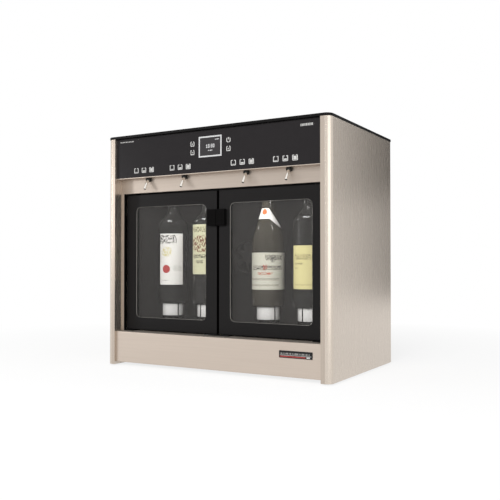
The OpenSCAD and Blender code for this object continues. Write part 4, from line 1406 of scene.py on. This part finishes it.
@dataclass
class LiftSpring(Part):
    """One coil spring under a platform. The real one shortens as the lift goes down; this piece keeps its length."""

    station: int = 0
    travel: float = 0.040

    def build(self) -> None:
        """Takes the coil's form from its solid and gives it a mesh of its own."""
        number_of = self.station + 1
        node = f"lift_spring_{number_of}"
        coil = self.copied(node)
        Bench.finish(coil, angle=60)
        self.seat(coil, Steel.spring, "spring_steel", [node])
        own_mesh(coil)


@dataclass
class Spouts(Part):
    """Four polished spouts, each in a black collar fitted into the corner of shelf and band."""

    outer: float = 0.00325
    bore: float = 0.0022
    below: float = 0.0245
    above: float = 0.0290
    collar: float = 0.0066
    collar_length: float = 0.0112
    steps: int = 48

    def build(self) -> None:
        """Turns one spout and one collar and copies them to the other stations."""
        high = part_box("spout_collars")[1]
        side = SPOUT_AXIS.cross(X).normalized()
        r, b, end = self.outer, self.bore, -self.below
        wall = [(b, end), (r - 0.0008, end), (r - 0.0002, end + 0.0003), (r, end + 0.001), (r, self.above)]
        wall += [(b, self.above), (b, end)]
        tube = Bench.turned("spout_1", wall, SPOUT_FOOT, SPOUT_AXIS, side, self.steps)
        Bench.finish(tube, angle=TURNED_ANGLE)
        c, long, hole = self.collar, self.collar_length, r + 0.0001
        ring = [(hole, 0), (c - 0.0008, 0), (c, 0.0008), (c, long), (hole, long), (hole, 0)]
        boss = Bench.turned("spout_collar_1", ring, SPOUT_FOOT, SPOUT_AXIS, side, self.steps)
        Bench.split(boss, Vector((0, 0, high.z)), Z, clear=True, fill=True)
        Bench.split(boss, Vector((0, high.y, 0)), Y, clear=True, fill=True)
        Bench.finish(boss, angle=TURNED_ANGLE)
        for first, stem, finish, slot, node in (
            (tube, "spout", Steel.polished, "spout", "spout_tubes"),
            (boss, "spout_collar", Plastic.gloss, "collar", "spout_collars"),
        ):
            row = [Bench.copy(first, f"{stem}_{i + 1}", X * (STATIONS[i] - STATIONS[0])) for i in (1, 2, 3)]
            for piece in (first, *row):
                self.seat(piece, finish, slot, [node])


@dataclass
class RubberFeet(Part):
    """Four feet with a rounded tread edge and a grooved side."""

    radius: float = 0.018

    def build(self) -> None:
        """Turns one foot and copies it to the other corners."""
        low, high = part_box("rubber_feet")
        r, tall = self.radius, high.z
        first = Vector((low.x + r, low.y + r, 0))
        outline = [(0, 0.0004), (r - 0.005, 0.0004), (r - 0.0045, 0), (r - 0.003, 0), (r - 0.002, 0.0006)]
        outline += [(r - 0.0012, tall * 0.4), (r - 0.0018, tall * 0.5), (r - 0.0008, tall * 0.6), (r, tall), (0, tall)]
        foot = Bench.turned("rubber_foot_1", outline, first)
        Bench.finish(foot, angle=30)
        across, back = high.x - low.x - 2 * r, high.y - low.y - 2 * r
        moves = ((0, back), (across, 0), (across, back))
        copies = [Bench.copy(foot, f"rubber_foot_{i + 2}", Vector((*move, 0))) for i, move in enumerate(moves)]
        for piece in (foot, *copies):
            self.seat(piece, Plastic.rubber, "rubber", ["rubber_feet"])


# ---------------------------------------------------------------- inside and back


@dataclass
class Works(Part):
    """What the cabinet holds, and its back: solids whose forms are right, in their finishes."""

    def build(self) -> None:
        """Rounds the pieces that can be seen from outside, and dresses the rest."""
        self.soften("hinge_brackets", Paint.black, "hinge", 0.0004)
        self.soften("door_stop_plate", Plastic.gloss, "hinge", 0.0005)
        self.soften("rear_panel", Steel.galvanised, "sheet", 0.0002)
        self.soften("rear_grille", Plastic.black, "grille", 0.0003)
        self.soften("power_inlet", Plastic.black, "inlet", 0.0003)
        self.soften("power_rocker", Plastic.gloss, "rocker", 0.0004, "rocker")
        for finish, names in (
            (Steel.galvanised, "base_pan"),
            (Plastic.liner, "cabin_liner"),
            (Plastic.foam, "cabin_insulation"),
            (Plastic.diffuser, "led_strips"),
            (Plastic.gloss, "lift_guides docking_heads"),
            (Plastic.stopper, "bottle_stopper_1 bottle_stopper_2 bottle_stopper_3 bottle_stopper_4"),
            (Metal.aluminium, "hot_sink power_supply pinch_valves"),
            (Metal.anodised, "cold_sink"),
            (Plastic.fan, "fan_frames cold_fan_rotor hot_fan_rotor"),
            (Metal.brass, "gas_manifold"),
            (Plastic.hose, "wine_lines"),
            (Plastic.white, "gas_lines"),
            (Plastic.ceramic, "thermoelectric_module"),
            (Plastic.board, "control_board"),
            (Print.screen, "display_module"),
        ):
            self.dress(finish, *names.split())


# ---------------------------------------------------------------- studio


@dataclass
class Hung:
    """A rectangle that hangs at a place and faces another."""

    name: str
    place: tuple[float, float, float]
    aim: tuple[float, float, float]
    width: float
    height: float

    def turn(self) -> Matrix:
        """Returns its turn from facing down."""
        way = Vector(self.aim) - Vector(self.place)
        return way.to_track_quat("-Z", "Y").to_matrix().to_4x4()


@dataclass
class Softbox(Hung):
    """A rectangular lamp."""

    power: float
    gloss: bool = True

    def build(self) -> None:
        """Hangs the lamp."""
        lamp = bpy.data.lights.new(self.name, "AREA")
        lamp.shape = "RECTANGLE"
        lamp.size, lamp.size_y = self.width, self.height
        lamp.energy = self.power
        box = bpy.data.objects.new(self.name, lamp)
        box.location = self.place
        box.rotation_euler = self.turn().to_euler()
        box.visible_camera = False
        box.visible_glossy = self.gloss
        bpy.context.scene.collection.objects.link(box)


@dataclass
class Flag(Hung):
    """A grey or dark card that the camera doesn't see. It gives pale metal something to mirror."""

    shade: float

    def build(self) -> None:
        """Hangs the card."""
        card = Bench.plane(self.name, self.width, self.height)
        card.data.transform(Matrix.Translation(self.place) @ self.turn())
        made = bpy.data.materials.new(self.name)
        tree = blank(made)
        add(tree, "ShaderNodeOutputMaterial", {"Surface": white_light(tree, self.shade)})
        card.data.materials.append(made)
        card.visible_camera = False


@dataclass
class Studio:
    """Camera, lamps, white world and pale floor."""

    camera_place: tuple[float, float, float] = (0.8445, -1.4529, 0.2454)
    camera_turn: tuple[float, float, float] = (91.010, 0.0, 30.193)
    lens: float = 50.0
    sensor: float = 36.0
    floor_size: float = 30.0
    floor_shade: float = 0.22
    floor_grain: float = 40.0
    shade_from: float = 0.45
    shade_to: float = 1.3
    ambient: float = 0.55
    lamps: tuple[Softbox, ...] = (
        Softbox("key_front", (0.6, -2.9, 1.15), (0, 0, 0.22), 1.8, 1.4, 125, gloss=False),
        Softbox("low_left", (-2.55, -2.1, 0.65), (-0.26, -0.16, 0.42), 0.4, 0.6, 8),
        Softbox("wide_right", (2.5, -1.15, 0.5), (0.29, -0.2, 0.3), 2.2, 1.6, 13),
        *(
            Softbox(f"cabin_light_{i + 1}", (x, -0.108, 0.395), (x, -0.075, 0.2), 0.04, 0.01, 0.06)
            for i, x in enumerate(STATIONS)
        ),
    )
    flags: tuple[Flag, ...] = (
        Flag("grey_card_right_rear", (0.48, 1.6, 0.33), (0.48, 0, 0.33), 0.88, 0.5, 0.2),
        Flag("dark_card_right_rear", (0.46, 1.6, 1.27), (0.46, 0, 1.27), 1.08, 1.5, 0.0),
    )

    def build(self) -> None:
        """Sets up the studio and the view."""
        scene = bpy.context.scene
        scene.view_settings.view_transform = "Standard"
        camera = bpy.data.objects.new("camera", bpy.data.cameras.new("camera"))
        camera.data.lens = self.lens
        camera.data.sensor_width = self.sensor
        camera.location = self.camera_place
        camera.rotation_euler = tuple(math.radians(a) for a in self.camera_turn)
        scene.collection.objects.link(camera)
        scene.camera = camera
        for item in (*self.lamps, *self.flags):
            item.build()
        self.world(scene)
        self.floor()

    def world(self, scene: bpy.types.Scene) -> None:
        """Makes the surroundings white to the camera, in metal and in glass, and a soft fill on the object."""
        scene.world = bpy.data.worlds.new("white_surroundings")
        tree = blank(scene.world)
        strength = self.seen(tree, self.ambient, 1.0)
        shine = white_light(tree, strength, "ShaderNodeBackground")
        add(tree, "ShaderNodeOutputWorld", {"Surface": shine})

    @staticmethod
    def seen(tree: Tree, hidden: float, shown: float) -> Socket:
        """Returns one value for camera, glossy and transmission rays, and another for the rest."""
        path = add(tree, "ShaderNodeLightPath").outputs
        either = number(tree, "MAXIMUM", path["Is Camera Ray"], path["Is Glossy Ray"])
        either = number(tree, "MAXIMUM", either, path["Is Transmission Ray"])
        return ramp(tree, either, low=hidden, high=shown)

    def floor(self) -> None:
        """Lays the pale floor: white where it is seen, with the object's soft shadow."""
        floor = Bench.plane("pale_floor", self.floor_size, self.floor_size)
        made = bpy.data.materials.new("pale_floor")
        tree = blank(made)
        place = add(tree, "ShaderNodeTexCoord").outputs["Object"]
        grain = add(tree, "ShaderNodeTexNoise", {"Vector": place, "Scale": self.floor_grain}).outputs["Fac"]
        colour = mix(tree, grain, linear("#f4f4f4"), linear("#f0f0f0"))
        matt = add(tree, "ShaderNodeBsdfDiffuse", {"Color": colour}).outputs[0]
        reach = add(tree, "ShaderNodeVectorMath", {0: place}, operation="LENGTH").outputs["Value"]
        pale = ramp(tree, reach, start=self.shade_from, end=self.shade_to, low=1 - self.floor_shade)
        share = number(tree, "MULTIPLY", self.seen(tree, 0.0, 1.0), pale)
        mixed = add(tree, "ShaderNodeMixShader", {0: share, 1: matt, 2: white_light(tree, 1.0)})
        add(tree, "ShaderNodeOutputMaterial", {"Surface": mixed.outputs[0]})
        floor.data.materials.append(made)


# ---------------------------------------------------------------- assembly


def main() -> None:
    """Loads the frame, builds each sub-assembly on it and sets up the studio."""
    logging.basicConfig(level=logging.INFO, format="%(message)s")
    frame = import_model()
    Bench.clear()
    nodes = frame["nodes"]
    bottles = (
        Bottle(nodes, station=0, shoulder=0.190, neck_from=0.228),
        Bottle(nodes, station=1, shoulder=0.192, neck_from=0.230),
        Bottle(nodes, station=2, shoulder=0.138, neck_from=0.236, glass=Glass.brown, slot="bottle_red"),
        Bottle(nodes, station=3, shoulder=0.188, neck_from=0.226),
    )
    # Each label's angles from the front, its heights, its paper's two tones and its print
    papers = (
        (-22.5, 73.9, 0.191, 0.315, "#f6f4ef", "#eeebe4", FIRST_LABEL),
        (-58.0, 58.0, 0.217, 0.335, "#dedcba", "#d2cfa9", SECOND_LABEL),
        (-100.0, 120.0, 0.184, 0.267, "#dcdacb", "#d2cfbe", THIRD_LABEL),
        (-44.7, 50.0, 0.187, 0.282, "#e9dfa4", "#e1d697", FOURTH_LABEL),
    )
    labels = tuple(Label(nodes, i, *paper) for i, paper in enumerate(papers))
    sash = ShoulderSash(nodes, 2, -60.0, 112.0, 0.325, 0.368, "#f7f5f1", "#eceae4", SASH, bottle=bottles[2])
    platforms = tuple(LiftPlatform(nodes, station=i, keyway=turn) for i, turn in enumerate((-26, -101, -26, -101)))
    springs = tuple(LiftSpring(nodes, station=i) for i in range(4))
    casing = (TopCover(nodes), SidePanels(nodes), FrontFrame(nodes), Plinth(nodes), ControlFascia(nodes))
    fittings = (GlassDoors(nodes), Spouts(nodes), RubberFeet(nodes), Works(nodes))
    for part in (*casing, *fittings, *bottles, *labels, sash, *platforms, *springs):
        part.build()
    Studio().build()


if __name__ == "__main__":
    main()
